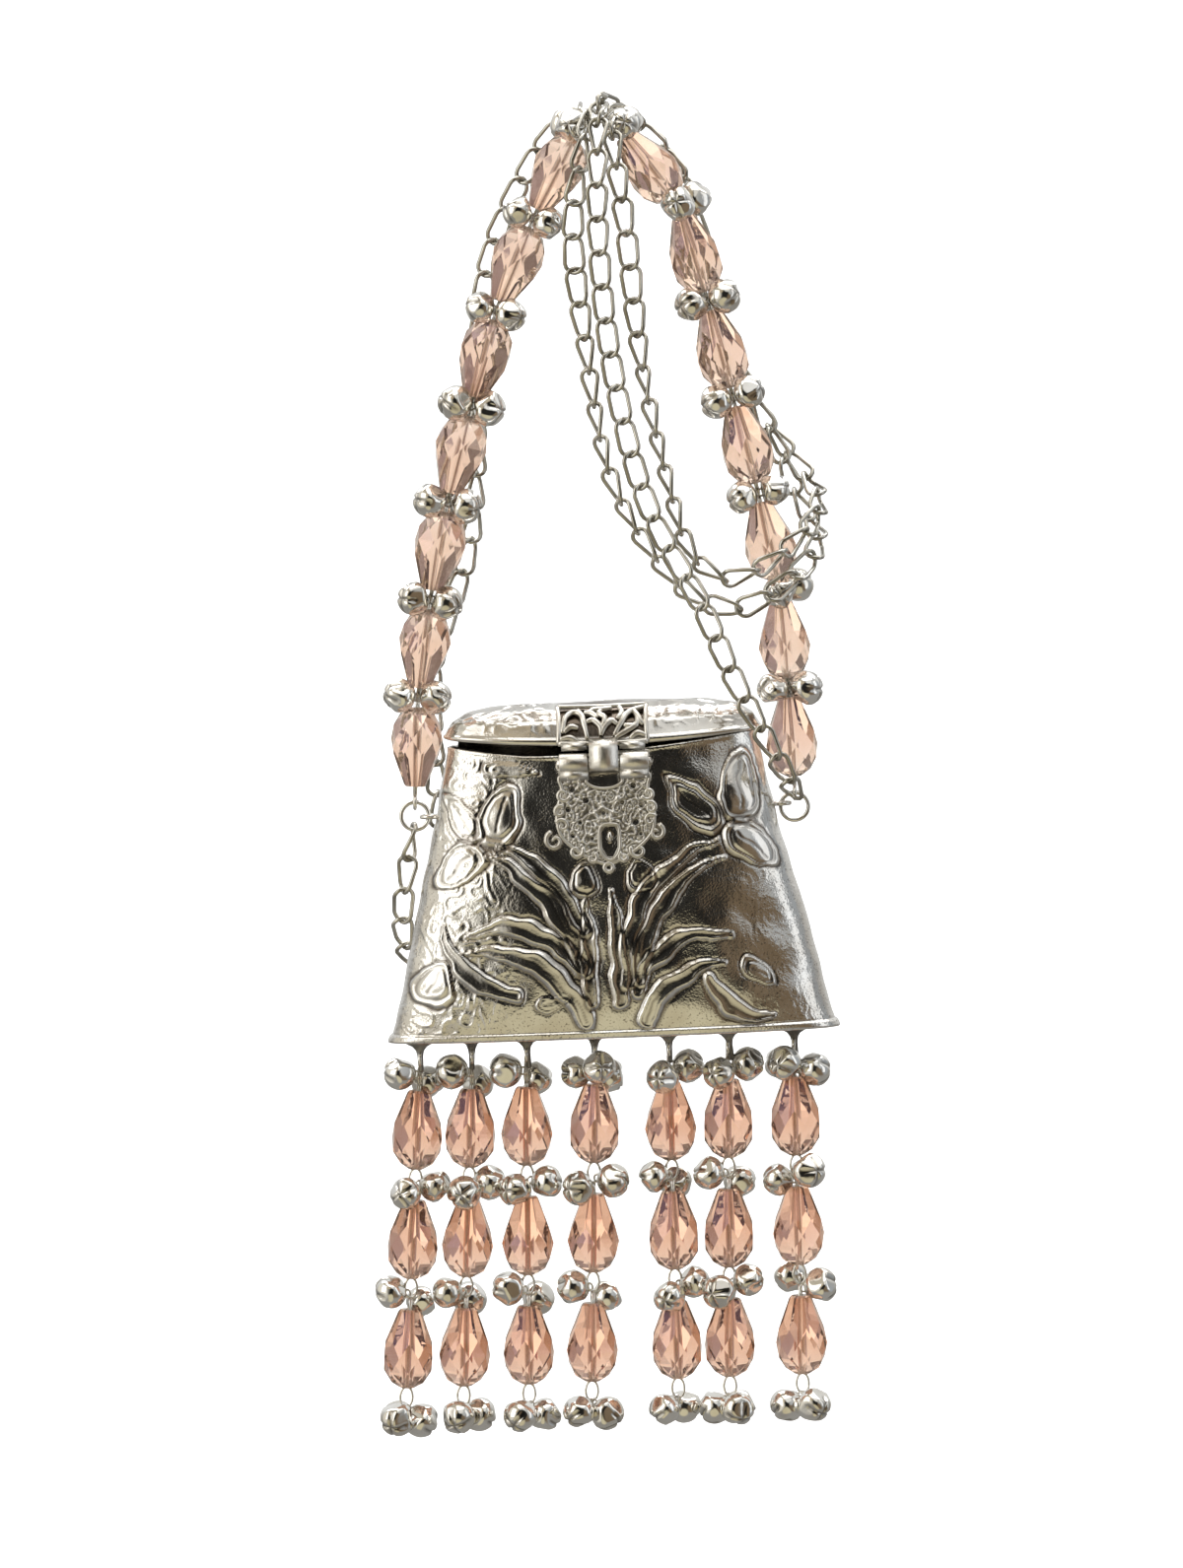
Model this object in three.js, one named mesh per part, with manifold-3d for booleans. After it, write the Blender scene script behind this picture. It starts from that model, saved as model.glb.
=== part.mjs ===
// A small clutch purse of silvered metal: a tapered body embossed with plants, a domed lid on a
// back hinge, a pierced hasp over a staple, a handle and a fringe strung with cut crystal drops
// and small bells, and a long shoulder chain wound over the handle.
// Millimetres, +Z up, front toward -Y. The origin is the hook point inside the top of the handle.

import * as THREE from 'three';
import { mergeVertices } from 'three/addons/utils/BufferGeometryUtils.js';
import Module from 'manifold-3d';

const wasm = await Module();
wasm.setup();

const { lerp, degToRad } = THREE.MathUtils;

// Place of the purse under the hook point: bottom centre, and lean with the right side up
const BAG = { x: 3.2, z: -183.8, lean: -2.2 };

// Purse body, a tapered shell on a rounded-oblong plan
const BODY_HEIGHT = 58.4;
const BOTTOM_HALF_WIDTH = 45.2;
const TOP_HALF_WIDTH = 31.4;
const BOTTOM_HALF_DEPTH = 13;
const TOP_HALF_DEPTH = 10.2;
const BELLY = 1.5;
const WALL = 1;
const BAND_HEIGHT = 2.4;
const BAND_PROUD = 0.5;
const OVAL_SIDES = 32;
const OVAL_SQUARENESS = 2.8;

// Lid, a shallow dome that sits just above the body's edge
const LID_SECTIONS = [
  { halfWidth: 31.9, halfDepth: 10.8, z: 58.7 },
  { halfWidth: 31.9, halfDepth: 10.8, z: 61 },
  { halfWidth: 30.6, halfDepth: 9.6, z: 64 },
  { halfWidth: 27.5, halfDepth: 7, z: 66.3 },
  { halfWidth: 22, halfDepth: 3.6, z: 67.4 },
];

// Hinges: barrel, bore and pin radii, the axis in the purse's side view, and barrel stretches
const LID_HINGE = { y: 12.7, z: 58.55, radius: 1.6, bore: 1, pin: 0.7, inner: 5, outer: 15 };
const HASP_HINGE = { y: -13, z: 55.8, radius: 2, bore: 1.15, pin: 0.8, inner: 2.9, outer: 9 };
const BARREL_SIDES = 10;
const BARREL_GAP = 0.3;

// Pierced plate on the lid's front, wrapped over the rim and the start of the dome
const PLATE = { halfWidth: 9, thickness: 0.9, gap: 0.3, hole: 1.15 };
const PLATE_HOLES = [
  { x: -6.6, row: 0 },
  { x: -3.6, row: 1 },
  { x: 0, row: 0 },
  { x: 3.6, row: 1 },
  { x: 6.6, row: 0 },
  { x: -6.8, row: 2 },
  { x: 0, row: 2 },
  { x: 6.8, row: 2 },
];

// Hasp: half of its shield outline, its pierced holes, and the slot that takes the staple
const HASP = { back: -13.1, thickness: 1, hole: 1.1, tipBall: 1 };
const HASP_OUTLINE = [
  { x: 9, z: 53.3 },
  { x: 8.2, z: 50.6 },
  { x: 10.6, z: 47.6 },
  { x: 11.2, z: 44.6 },
  { x: 9.4, z: 41.2 },
  { x: 6, z: 38.2 },
  { x: 2.6, z: 36.2 },
];
const HASP_TIP = 35.4;
const HASP_HOLES = [
  { x: 2.6, z: 50.8 },
  { x: 6.2, z: 50.4 },
  { x: 4.2, z: 47.4 },
  { x: 8.2, z: 46.2 },
  { x: 6.4, z: 42.6 },
];
const SLOT = { x: 0.6, halfWidth: 1.8, low: 36.6, high: 43 };
const STAPLE = { halfWidth: 0.7, low: 39.4, high: 42.4, front: -14.7 };

// Side eyes on the body, and the rings that carry the handle and the chain
const EYE = { radius: 1.6, wire: 0.5, z: 45.5, out: 1.3 };
const RING = { radius: 2.8, wire: 0.45, sides: 12, wireSides: 5 };
const LEFT_RING = { x: -37.2, z: -139.6 };
const RIGHT_RING = { x: 39.8, z: -137.6 };

// Wire of the strings, with the small loops at their ends
const WIRE = { radius: 0.5, sides: 6 };
const LOOP = { radius: 1.3, wire: 0.45, sides: 10, wireSides: 5 };

// Bells and crystals
const BELL = { radius: 2.7, length: 5.2, widest: 0.62, out: 0.35, sides: 10 };
const CRYSTAL_SIDES = 8;
const CRYSTAL_PROFILE = [
  { radius: 0.9, along: -7.8 },
  { radius: 3.4, along: -6.1 },
  { radius: 5.15, along: -1.8 },
  { radius: 1.9, along: 7.8 },
  { radius: 0.9, along: 7.8 },
];

// Handle: lean of each crystal from upright, and the bells after it, from the ring to the top
const HANDLE_PITCH = 20;
const HANDLE_SHIFT = -0.1;
const HANDLE_TOP = { x: 0, z: 0.9 };
const LEFT_HANDLE = [
  { lean: 1.7, bells: 2, turn: 210 },
  { lean: 7.3, bells: 2, turn: 210 },
  { lean: 10.1, bells: 3, turn: 90 },
  { lean: 13.8, bells: 2, turn: 210 },
  { lean: 15, bells: 2, turn: 210 },
  { lean: 21.9, bells: 2, turn: 210 },
  { lean: 26.6, bells: 2, turn: 330 },
];
const RIGHT_HANDLE = [
  { lean: 3.9, bells: 3, turn: 90 },
  { lean: 5, bells: 2, turn: 270 },
  { lean: 12.5, bells: 2, turn: 210 },
  { lean: 15, bells: 2, turn: 210 },
  { lean: 14.7, bells: 2, turn: 210 },
  { lean: 16.6, bells: 2, turn: 270 },
  { lean: 37.9, bells: 2, turn: 330 },
];

// Fringe: place of each strand under the purse, its sway, and the bells of its four clusters
const FRINGE_PITCH = 22.4;
const FRINGE_SHIFT = 0.7;
const FRINGE_DROP = 2.8;
const FRINGE_TAIL = 1.2;
const LUG = { radius: 1.7, tip: 0.8, height: 1.6, sides: 8 };
const FRINGE = [
  { x: -39.6, sway: -2.4, bells: [2, 2, 2, 3], turn: 210 },
  { x: -29, sway: -1.5, bells: [2, 2, 2, 2], turn: 210 },
  { x: -18, sway: 0.5, bells: [2, 2, 2, 2], turn: 210 },
  { x: -4, sway: -0.5, bells: [3, 2, 2, 2], turn: 150 },
  { x: 11, sway: 1.7, bells: [2, 2, 2, 2], turn: 210 },
  { x: 23, sway: 0.5, bells: [2, 2, 2, 3], turn: 210 },
  { x: 36.4, sway: 1.7, bells: [3, 2, 2, 2], turn: 150 },
];
const CLUSTER_TURN = 60;
const CLUSTER_STAGGER = 0.9;
const LAST_BELLS_DROOP = 0.7;

// Shoulder chain: the way it runs, as a tube of its mean size, from the left ring to the right one
const CHAIN = { diameter: 3, sides: 8 };
const CHAIN_ROUTE = [
  // Down beside the left edge and up behind the purse
  [-37.8, 0, -143.3], [-39.4, 1.5, -154], [-39.9, 7, -165], [-37.6, 14.4, -171.4], [-33.8, 18.4, -168],
  [-32.6, 18.5, -158], [-32.8, 16.8, -141], [-34, 10.5, -121], [-33.6, 9, -108],
  // Up behind the left half of the handle
  [-26, 9, -84], [-24.6, 9.2, -56], [-22.6, 9.4, -28], [-15, 9.2, -9.5], [-7.4, 8, 2],
  // Over the top and down the front
  [-2.9, 1.6, 5], [-2.6, -6.6, -0.2], [-5.2, -8.8, -20], [-3, -8.8, -42], [2.4, -9, -71], [9.6, -9.2, -84.5],
  // Round the right half of the handle
  [19, -9.3, -95], [29, -9.4, -97.4], [38.4, -8.6, -91.6], [43.6, -3.4, -86.4], [44.6, 3, -82],
  // Up behind the right half and over the top again
  [41.6, 8.6, -77], [36.2, 9.8, -64], [28.6, 9.4, -38], [17.4, 9.2, -11.4], [7.4, 8.2, 1.6], [2.9, 1.6, 5],
  // Down the front and round the right half once more
  [2.6, -6.6, -0.2], [5.6, -8.8, -22], [8.6, -8.8, -48], [14, -8.8, -72], [19, -9.5, -87],
  [26.4, -9.8, -91.6], [37, -9.4, -86], [43.2, -4.4, -80], [44.8, 3, -75],
  // Up behind and over the top a third time
  [41.6, 11, -69.4], [34.6, 13.6, -56], [26, 13.4, -31], [14.6, 13, -6.5], [5.4, 11.6, 4.4], [0.4, 4.6, 8],
  // Down the front to the right ring
  [0, -2, 6.8], [0, -9, 1.8], [-0.2, -12.5, -20], [2.6, -12.5, -48], [10, -13, -77], [20.6, -13.4, -96.4],
  [27, -13.6, -111], [34.6, -12.6, -125], [38.2, -8.4, -131.6], [39.3, -4, -134.6],
];

// Relief on the front: leaf blades by the base, middle and tip of their spines
const BLADE_HEIGHT = 0.9;
const BLADES = [
  { base: [-4.3, 7.6], mid: [-4.6, 18], tip: [-4.4, 28.2], width: 2.6 },
  { base: [1.7, 7.1], mid: [1.6, 18], tip: [0.7, 28.6], width: 2.6 },
  { base: [-5, 13.9], mid: [-11.4, 28.6], tip: [-24.1, 37.8], width: 2.6 },
  { base: [-5.3, 22], mid: [-11, 33], tip: [-21, 40.4], width: 2.2 },
  { base: [3.1, 11.7], mid: [7.5, 29.6], tip: [22.3, 39.8], width: 2.6 },
  { base: [6.6, 10.5], mid: [12, 27], tip: [24.4, 35.4], width: 2.4 },
  { base: [-6.2, 14.6], mid: [-17.2, 24], tip: [-29.1, 22.6], width: 2.6 },
  { base: [-6.4, 5.2], mid: [-14.9, 17], tip: [-28.6, 17.9], width: 2.6 },
  { base: [-19.5, 9.4], mid: [-28, 13.4], tip: [-34.4, 24], width: 2.4 },
  { base: [6.6, 12.4], mid: [14, 21.4], tip: [24.6, 21.4], width: 2.4 },
  { base: [6.5, 4.6], mid: [12.4, 13.4], tip: [22.6, 15.4], width: 2.6 },
  { base: [20, 11], mid: [25.3, 5.2], tip: [33.4, 4.6], width: 2.6 },
];

// Relief petals, buds and bosses by centre, size and the turn of their length from the X axis
const PETAL_HEIGHT = 1;
const PETALS = [
  { x: -21, z: 46.2, length: 13, width: 7.6, turn: 72 },
  { x: -28.2, z: 45.2, length: 10.6, width: 5, turn: 121 },
  { x: -30, z: 34.6, length: 11.6, width: 6, turn: 216 },
  { x: 26.6, z: 49, length: 12.6, width: 6.4, turn: 92 },
  { x: 17.6, z: 47.4, length: 13, width: 6, turn: 128 },
  { x: 29, z: 37.4, length: 12, width: 6.6, turn: -37 },
  { x: -5, z: 31.4, length: 5.6, width: 5, turn: 90 },
  { x: 6.4, z: 32, length: 5.6, width: 5, turn: 90 },
  { x: -35.6, z: 11.6, length: 8.6, width: 7, turn: 60 },
];
const BLADE_SWELL = [0.3, 1, 0.2];
const PETAL_SWELL = [0.2, 1, 0.25];
const RELIEF_BURIED = 0.35;
const RELIEF_KEEL = 0.8;

// Finishes
const silver = () => new THREE.MeshStandardMaterial({ color: 0xc8c6c0, roughness: 0.24, metalness: 1 });
const nickel = () => new THREE.MeshStandardMaterial({ color: 0x9c9890, roughness: 0.3, metalness: 1 });
const crystal = () => new THREE.MeshStandardMaterial({ color: 0xf0b29a, roughness: 0.06, metalness: 0 });

// Turn a geometry into one clean closed surface that faces outward
function closed(geometry) {
  const bare = geometry.clone();
  bare.deleteAttribute('normal');
  bare.deleteAttribute('uv');
  const merged = mergeVertices(bare, 1e-4);
  const corners = merged.getAttribute('position');
  const index = merged.getIndex().array;
  const triangles = [];
  let volume = 0;
  for (let i = 0; i < index.length; i += 3) {
    const [a, b, c] = index.slice(i, i + 3);
    if (a === b || b === c || c === a) continue;
    const [p, q, r] = [a, b, c].map((i3) => new THREE.Vector3().fromBufferAttribute(corners, i3));
    volume += p.dot(q.cross(r));
    triangles.push([a, b, c]);
  }
  const facing = volume < 0 ? triangles.map(([a, b, c]) => [a, c, b]) : triangles;
  merged.setIndex(facing.flat());
  return merged;
}

// Solids for joining and cutting
function solid(geometry) {
  const surface = closed(geometry);
  const vertProperties = new Float32Array(surface.getAttribute('position').array);
  const triVerts = new Uint32Array(surface.getIndex().array);
  return new wasm.Manifold(new wasm.Mesh({ numProp: 3, vertProperties, triVerts }));
}

function fuse(geometries) {
  return geometries.map(solid).reduce((whole, piece) => whole.add(piece));
}

function geometryOf(body) {
  const { vertProperties, triVerts } = body.getMesh();
  const geometry = new THREE.BufferGeometry();
  geometry.setAttribute('position', new THREE.BufferAttribute(vertProperties, 3));
  geometry.setIndex(new THREE.BufferAttribute(triVerts, 1));
  return geometry;
}

function piece(name, geometry, material) {
  const shape = closed(geometry);
  shape.computeVertexNormals();
  const mesh = new THREE.Mesh(shape, material);
  mesh.name = name;
  return mesh;
}

// A closed body through rings of equal count, flat at its first and last ring
function loft(rings) {
  const count = rings[0].length;
  const points = rings.flat();
  const middle = (ring) => ring.reduce((sum, p) => sum.add(p), new THREE.Vector3()).divideScalar(count);
  const start = points.push(middle(rings[0])) - 1;
  const end = points.push(middle(rings.at(-1))) - 1;
  const lastRing = (rings.length - 1) * count;
  const index = [];
  for (let side = 0; side < count; side++) {
    const next = (side + 1) % count;
    for (let ring = 0; ring < lastRing; ring += count) {
      index.push(ring + side, ring + next, ring + count + next);
      index.push(ring + side, ring + count + next, ring + count + side);
    }
    index.push(start, next, side, end, lastRing + side, lastRing + next);
  }
  const geometry = new THREE.BufferGeometry().setFromPoints(points);
  geometry.setIndex(index);
  return geometry;
}

// A flat outline in X and Z as a plate from its back face toward the front
function plateFromOutline(outline, back, thickness) {
  const shape = new THREE.Shape(outline.map(({ x, z }) => new THREE.Vector2(x, z)));
  const plate = new THREE.ExtrudeGeometry(shape, { depth: thickness, bevelEnabled: false });
  return plate.rotateX(Math.PI / 2).translate(0, back, 0);
}

// An outline in Y and Z carried along X
function barFromSide(outline, from, to) {
  const shape = new THREE.Shape(outline.map(({ y, z }) => new THREE.Vector2(y, z)));
  const bar = new THREE.ExtrudeGeometry(shape, { depth: to - from, bevelEnabled: false });
  const turn = new THREE.Matrix4().set(0, 0, 1, from, 1, 0, 0, 0, 0, 1, 0, 0, 0, 0, 0, 1);
  return bar.applyMatrix4(turn);
}

function box(low, high) {
  const [x, y, z] = [0, 1, 2].map((axis) => (low[axis] + high[axis]) / 2);
  const [width, depth, height] = [0, 1, 2].map((axis) => high[axis] - low[axis]);
  return new THREE.BoxGeometry(width, depth, height).translate(x, y, z);
}

function revolve(profile, sides) {
  return new THREE.LatheGeometry(profile.map(([radius, along]) => new THREE.Vector2(radius, along)), sides);
}

// Hinge barrels and pins along X
function barrel({ radius, bore, y, z }, from, to) {
  const profile = [[bore, from], [radius, from], [radius, to], [bore, to], [bore, from]];
  return revolve(profile, BARREL_SIDES).rotateZ(-Math.PI / 2).translate(0, y, z);
}

function hingePin({ pin, outer, y, z }) {
  const overhang = 0.5;
  const rod = new THREE.CylinderGeometry(pin, pin, 2 * (outer + overhang), BARREL_SIDES);
  return rod.rotateZ(-Math.PI / 2).translate(0, y, z);
}

// Plan and surface of the purse body
function signedPower(value, power) {
  return Math.sign(value) * Math.abs(value) ** power;
}

function oval(halfWidth, halfDepth, z) {
  const points = [];
  for (let side = 0; side < OVAL_SIDES; side++) {
    const angle = (2 * Math.PI * side) / OVAL_SIDES;
    const x = halfWidth * signedPower(Math.cos(angle), 2 / OVAL_SQUARENESS);
    const y = halfDepth * signedPower(Math.sin(angle), 2 / OVAL_SQUARENESS);
    points.push(new THREE.Vector3(x, y, z));
  }
  return points;
}

function bodyHalfWidth(z) {
  return lerp(BOTTOM_HALF_WIDTH, TOP_HALF_WIDTH, z / BODY_HEIGHT);
}

function bodyHalfDepth(z) {
  const share = z / BODY_HEIGHT;
  return lerp(BOTTOM_HALF_DEPTH, TOP_HALF_DEPTH, share) + BELLY * Math.sin(Math.PI * share);
}

function frontY(x, z) {
  const across = Math.min(1, Math.abs(x) / bodyHalfWidth(z));
  return -bodyHalfDepth(z) * (1 - across ** OVAL_SQUARENESS) ** (1 / OVAL_SQUARENESS);
}

function bodyShell() {
  const levels = [0.35 * BODY_HEIGHT, 0.7 * BODY_HEIGHT];
  const section = (z, grow) => oval(bodyHalfWidth(z) + grow, bodyHalfDepth(z) + grow, z);
  const outside = [BAND_HEIGHT + BAND_PROUD, ...levels, BODY_HEIGHT].map((z) => section(z, 0));
  const inside = [BODY_HEIGHT, ...levels.toReversed(), WALL].map((z) => section(z, -WALL));
  return loft([section(0, BAND_PROUD), section(BAND_HEIGHT, BAND_PROUD), ...outside, ...inside]);
}

// One relief form: a low ridge along a spine on the front, its foot buried in the wall
function ridge(spine, width, height, swell) {
  const rings = swell.map((share, station) => {
    const along = station / (swell.length - 1);
    const { x, y: z } = spine.getPoint(along);
    const run = spine.getTangent(along);
    const half = (share * width) / 2;
    const foot = (side) => {
      const footX = x - side * half * run.y;
      const footZ = z + side * half * run.x;
      return new THREE.Vector3(footX, frontY(footX, footZ) + RELIEF_BURIED, footZ);
    };
    const surface = frontY(x, z);
    const crest = new THREE.Vector3(x, surface - height * Math.min(1, 0.4 + share), z);
    const keel = new THREE.Vector3(x, surface + RELIEF_KEEL, z);
    return [foot(1), crest, foot(-1), keel];
  });
  return loft(rings);
}

function blade({ base, mid, tip, width }) {
  const [start, bend, end] = [base, mid, tip].map(([x, z]) => new THREE.Vector2(x, z));
  return ridge(new THREE.QuadraticBezierCurve(start, bend, end), width, BLADE_HEIGHT, BLADE_SWELL);
}

function petal({ x, z, length, width, turn }) {
  const reach = new THREE.Vector2(length / 2, 0).rotateAround(new THREE.Vector2(), degToRad(turn));
  const middle = new THREE.Vector2(x, z);
  const spine = new THREE.LineCurve(middle.clone().sub(reach), middle.clone().add(reach));
  return ridge(spine, width, PETAL_HEIGHT, PETAL_SWELL);
}

// Solder cones under the body, each with the eye that a fringe strand hangs from
function lugEyeHeight() {
  return -LUG.height - LOOP.radius + LOOP.wire;
}

function lug({ x }) {
  const buried = 0.4;
  const cone = new THREE.CylinderGeometry(LUG.radius, LUG.tip, LUG.height + buried, LUG.sides);
  cone.rotateX(Math.PI / 2).translate(x, 0, (buried - LUG.height) / 2);
  const eye = wireLoop(LOOP).rotateX(Math.PI / 2).translate(x, 0, lugEyeHeight());
  return [cone, eye];
}

// A round loop of wire, flat in its X and Y
function wireLoop({ radius, wire, sides, wireSides }) {
  return new THREE.TorusGeometry(radius, wire, wireSides, sides);
}

function sideEye(side) {
  const x = side * (bodyHalfWidth(EYE.z) + EYE.out);
  return wireLoop({ ...LOOP, ...EYE }).translate(x, 0, EYE.z);
}

function staple() {
  const { halfWidth, low, high, front } = STAPLE;
  const root = frontY(SLOT.x, low) + RELIEF_KEEL;
  return box([SLOT.x - halfWidth, front, low], [SLOT.x + halfWidth, root, high]);
}

function bodyHinge() {
  const { inner, outer, y, z, radius, bore } = LID_HINGE;
  const start = inner + BARREL_GAP;
  const wallInside = 9.3;
  return [-1, 1].flatMap((side) => {
    const [from, to] = [side * start, side * outer].sort((a, b) => a - b);
    const web = box([from, wallInside, z - radius - 0.6], [to, y, z - bore - 0.1]);
    return [barrel(LID_HINGE, from, to), web];
  });
}

function purseBody() {
  const relief = [...BLADES.map(blade), ...PETALS.map(petal)];
  const fittings = [sideEye(-1), sideEye(1), staple(), ...bodyHinge(), ...FRINGE.flatMap(lug)];
  return geometryOf(fuse([bodyShell(), ...relief, ...fittings]));
}

// Lid with its own hinge barrel at the back
function purseLid() {
  const dome = LID_SECTIONS.map(({ halfWidth, halfDepth, z }) => oval(halfWidth, halfDepth, z));
  const hollow = LID_SECTIONS.filter((_, row) => row !== 1).map(({ halfWidth, halfDepth, z }, row) =>
    oval(halfWidth - WALL, halfDepth - WALL, row === 0 ? z : z - WALL));
  const { inner, y, z, bore } = LID_HINGE;
  const rimInside = 10.2;
  const web = box([-inner, rimInside, z + bore + 0.1], [inner, y, z + bore + 1]);
  const shell = loft([...hollow.toReversed(), ...dome]);
  return geometryOf(fuse([shell, barrel(LID_HINGE, -inner, inner), web]));
}

// Pierced plate on the lid, with the middle barrel of the hasp's hinge
function claspPlate() {
  const { halfWidth, thickness, gap, hole } = PLATE;
  const skin = LID_SECTIONS.slice(0, 4).map(({ halfDepth, z }) => ({ y: -halfDepth - gap, z: z + gap }));
  const face = skin.map(({ y, z }, row) => {
    const outward = row < 2 ? 1 : 0.8;
    return { y: y - thickness * outward, z: z + 0.25 * thickness * row };
  });
  const wrap = barFromSide([...skin, ...face.toReversed()], -halfWidth, halfWidth);
  const { inner, y, z, bore, radius } = HASP_HINGE;
  const strapSide = [
    { y: skin[1].y, z: skin[1].z },
    { y: face[1].y, z: face[1].z },
    { y: y - 0.8, z: z + bore + 0.1 },
    { y: y + 0.8, z: z + bore + 0.1 },
    { y: skin[0].y, z: z + radius + 0.4 },
  ];
  const strap = barFromSide(strapSide, -inner, inner);
  const whole = fuse([wrap, strap, barrel(HASP_HINGE, -inner, inner)]);
  const holes = PLATE_HOLES.map(({ x, row }) => {
    const slope = (face[row].y - face[row + 1].y) / (face[row + 1].z - face[row].z);
    const drill = new THREE.CylinderGeometry(hole, hole, 4 * thickness, 6).rotateX(-Math.atan(-slope));
    return drill.translate(x, (face[row].y + face[row + 1].y) / 2, (face[row].z + face[row + 1].z) / 2);
  });
  return geometryOf(whole.subtract(fuse(holes)));
}

// Pierced shield of the hasp, with the two outer barrels of its hinge
function hasp() {
  const { back, thickness, hole, tipBall } = HASP;
  const mirrored = HASP_OUTLINE.toReversed().map(({ x, z }) => ({ x: -x, z }));
  const shield = plateFromOutline([...HASP_OUTLINE, { x: 0, z: HASP_TIP }, ...mirrored], back, thickness);
  const { inner, outer, z, bore } = HASP_HINGE;
  const start = inner + BARREL_GAP;
  const hinge = [-1, 1].flatMap((side) => {
    const [from, to] = [side * start, side * outer].sort((a, b) => a - b);
    const tabFoot = HASP_OUTLINE[0].z - 1;
    const tab = box([from, back - thickness, tabFoot], [to, back, z - bore - 0.05]);
    return [barrel(HASP_HINGE, from, to), tab];
  });
  const ball = revolve([[0, -1], [0.95, -0.4], [0.95, 0.4], [0, 1]], BARREL_SIDES);
  ball.scale(tipBall, tipBall, tipBall).translate(0, back - tipBall, HASP_TIP - 0.6 * tipBall);
  const drillLength = 4 * thickness;
  const holes = [-1, 1].flatMap((side) => HASP_HOLES.map((place) => {
    const drill = new THREE.CylinderGeometry(hole, hole, drillLength, 6);
    return drill.translate(side * place.x, back - thickness / 2, place.z);
  }));
  const slotLow = [SLOT.x - SLOT.halfWidth, back - drillLength, SLOT.low];
  const slot = box(slotLow, [SLOT.x + SLOT.halfWidth, back + thickness, SLOT.high]);
  return geometryOf(fuse([shield, ...hinge, ball]).subtract(fuse([...holes, slot])));
}

// Straight lengths of wire from point to point
function wireThrough(points) {
  const rings = points.map((point, i) => {
    const before = points[Math.max(0, i - 1)];
    const after = points[Math.min(points.length - 1, i + 1)];
    const run = after.clone().sub(before).normalize();
    const back = new THREE.Vector3(0, 1, 0);
    const across = run.clone().cross(back).normalize();
    return Array.from({ length: WIRE.sides }, (_, side) => {
      const angle = (2 * Math.PI * side) / WIRE.sides;
      const spoke = across.clone().multiplyScalar(Math.cos(angle)).addScaledVector(back, Math.sin(angle));
      return point.clone().addScaledVector(spoke, WIRE.radius);
    });
  });
  return loft(rings);
}

// Bells round a point of a string: turn 0 is outward, 90 back and 270 front
function bellCluster(point, run, outward, { bells, turn, stagger = 0, droop = 0 }) {
  const { radius, length, widest, out, sides } = BELL;
  const profile = [[0, 0], [radius, widest * length], [0, length]];
  return Array.from({ length: bells }, (_, bell) => {
    const azimuth = degToRad(turn + (360 / Math.max(3, bells)) * bell);
    const reach = outward.clone().multiplyScalar(Math.cos(azimuth));
    reach.y += Math.sin(azimuth);
    reach.addScaledVector(run, -droop).normalize();
    const level = bells === 1 ? 0 : stagger * ((2 * bell) / (bells - 1) - 1);
    const place = point.clone().addScaledVector(reach, out).addScaledVector(run, level);
    const toward = new THREE.Quaternion().setFromUnitVectors(new THREE.Vector3(0, 1, 0), reach);
    return revolve(profile, sides).applyQuaternion(toward).translate(place.x, place.y, place.z);
  });
}

// One crystal on the wire between two clusters, its narrow end toward the second
function crystalDrop(name, from, to, shift) {
  const profile = [...CRYSTAL_PROFILE, CRYSTAL_PROFILE[0]].map(({ radius, along }) => [radius, along]);
  const mesh = piece(name, revolve(profile, CRYSTAL_SIDES), crystal());
  const run = to.clone().sub(from).normalize();
  mesh.position.addVectors(from, to).multiplyScalar(0.5).addScaledVector(run, shift);
  mesh.quaternion.setFromUnitVectors(new THREE.Vector3(0, 1, 0), run);
  return mesh;
}

// Upward direction that leans toward -X by an angle
function headed(lean) {
  return new THREE.Vector3(-Math.sin(lean), 0, Math.cos(lean));
}

// One half of the handle from its ring to the top; side is -1 on the left and 1 on the right
function handleHalf(ring, rows, side) {
  const ringTop = new THREE.Vector3(ring.x, 0, ring.z + RING.radius);
  const loop = wireLoop(LOOP).rotateY(Math.PI / 2).translate(ringTop.x, 0, ringTop.z);
  const runs = rows.map(({ lean }) => headed(side * degToRad(lean)));
  const points = [ringTop.clone().setZ(ringTop.z + LOOP.radius)];
  const bells = [];
  rows.forEach((row, i) => {
    points.push(points.at(-1).clone().addScaledVector(runs[i], HANDLE_PITCH));
    const run = runs[i].clone().add(runs[i + 1] ?? runs[i]).normalize();
    const outward = new THREE.Vector3(side * run.z, 0, -side * run.x);
    bells.push(...bellCluster(points.at(-1), run, outward, row));
  });
  return { loop, points, bells };
}

function handle() {
  const left = handleHalf(LEFT_RING, LEFT_HANDLE, -1);
  const right = handleHalf(RIGHT_RING, RIGHT_HANDLE, 1);
  const top = new THREE.Vector3(HANDLE_TOP.x, 0, HANDLE_TOP.z);
  const string = fuse([
    wireThrough([...left.points, top, ...right.points.toReversed()]),
    left.loop,
    right.loop,
    ...left.bells,
    ...right.bells,
  ]);
  const pieces = [piece('handle_string', geometryOf(string), silver())];
  const number = (i) => String(i).padStart(2, '0');
  LEFT_HANDLE.forEach((_, i) => {
    const [low, high] = left.points.slice(i, i + 2);
    pieces.push(crystalDrop(`handle_crystal_${number(i + 1)}`, high, low, HANDLE_SHIFT));
  });
  RIGHT_HANDLE.forEach((_, i) => {
    const place = LEFT_HANDLE.length + RIGHT_HANDLE.length - i;
    const [low, high] = right.points.slice(i, i + 2);
    pieces.push(crystalDrop(`handle_crystal_${number(place)}`, low, high, HANDLE_SHIFT));
  });
  return pieces;
}

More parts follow.
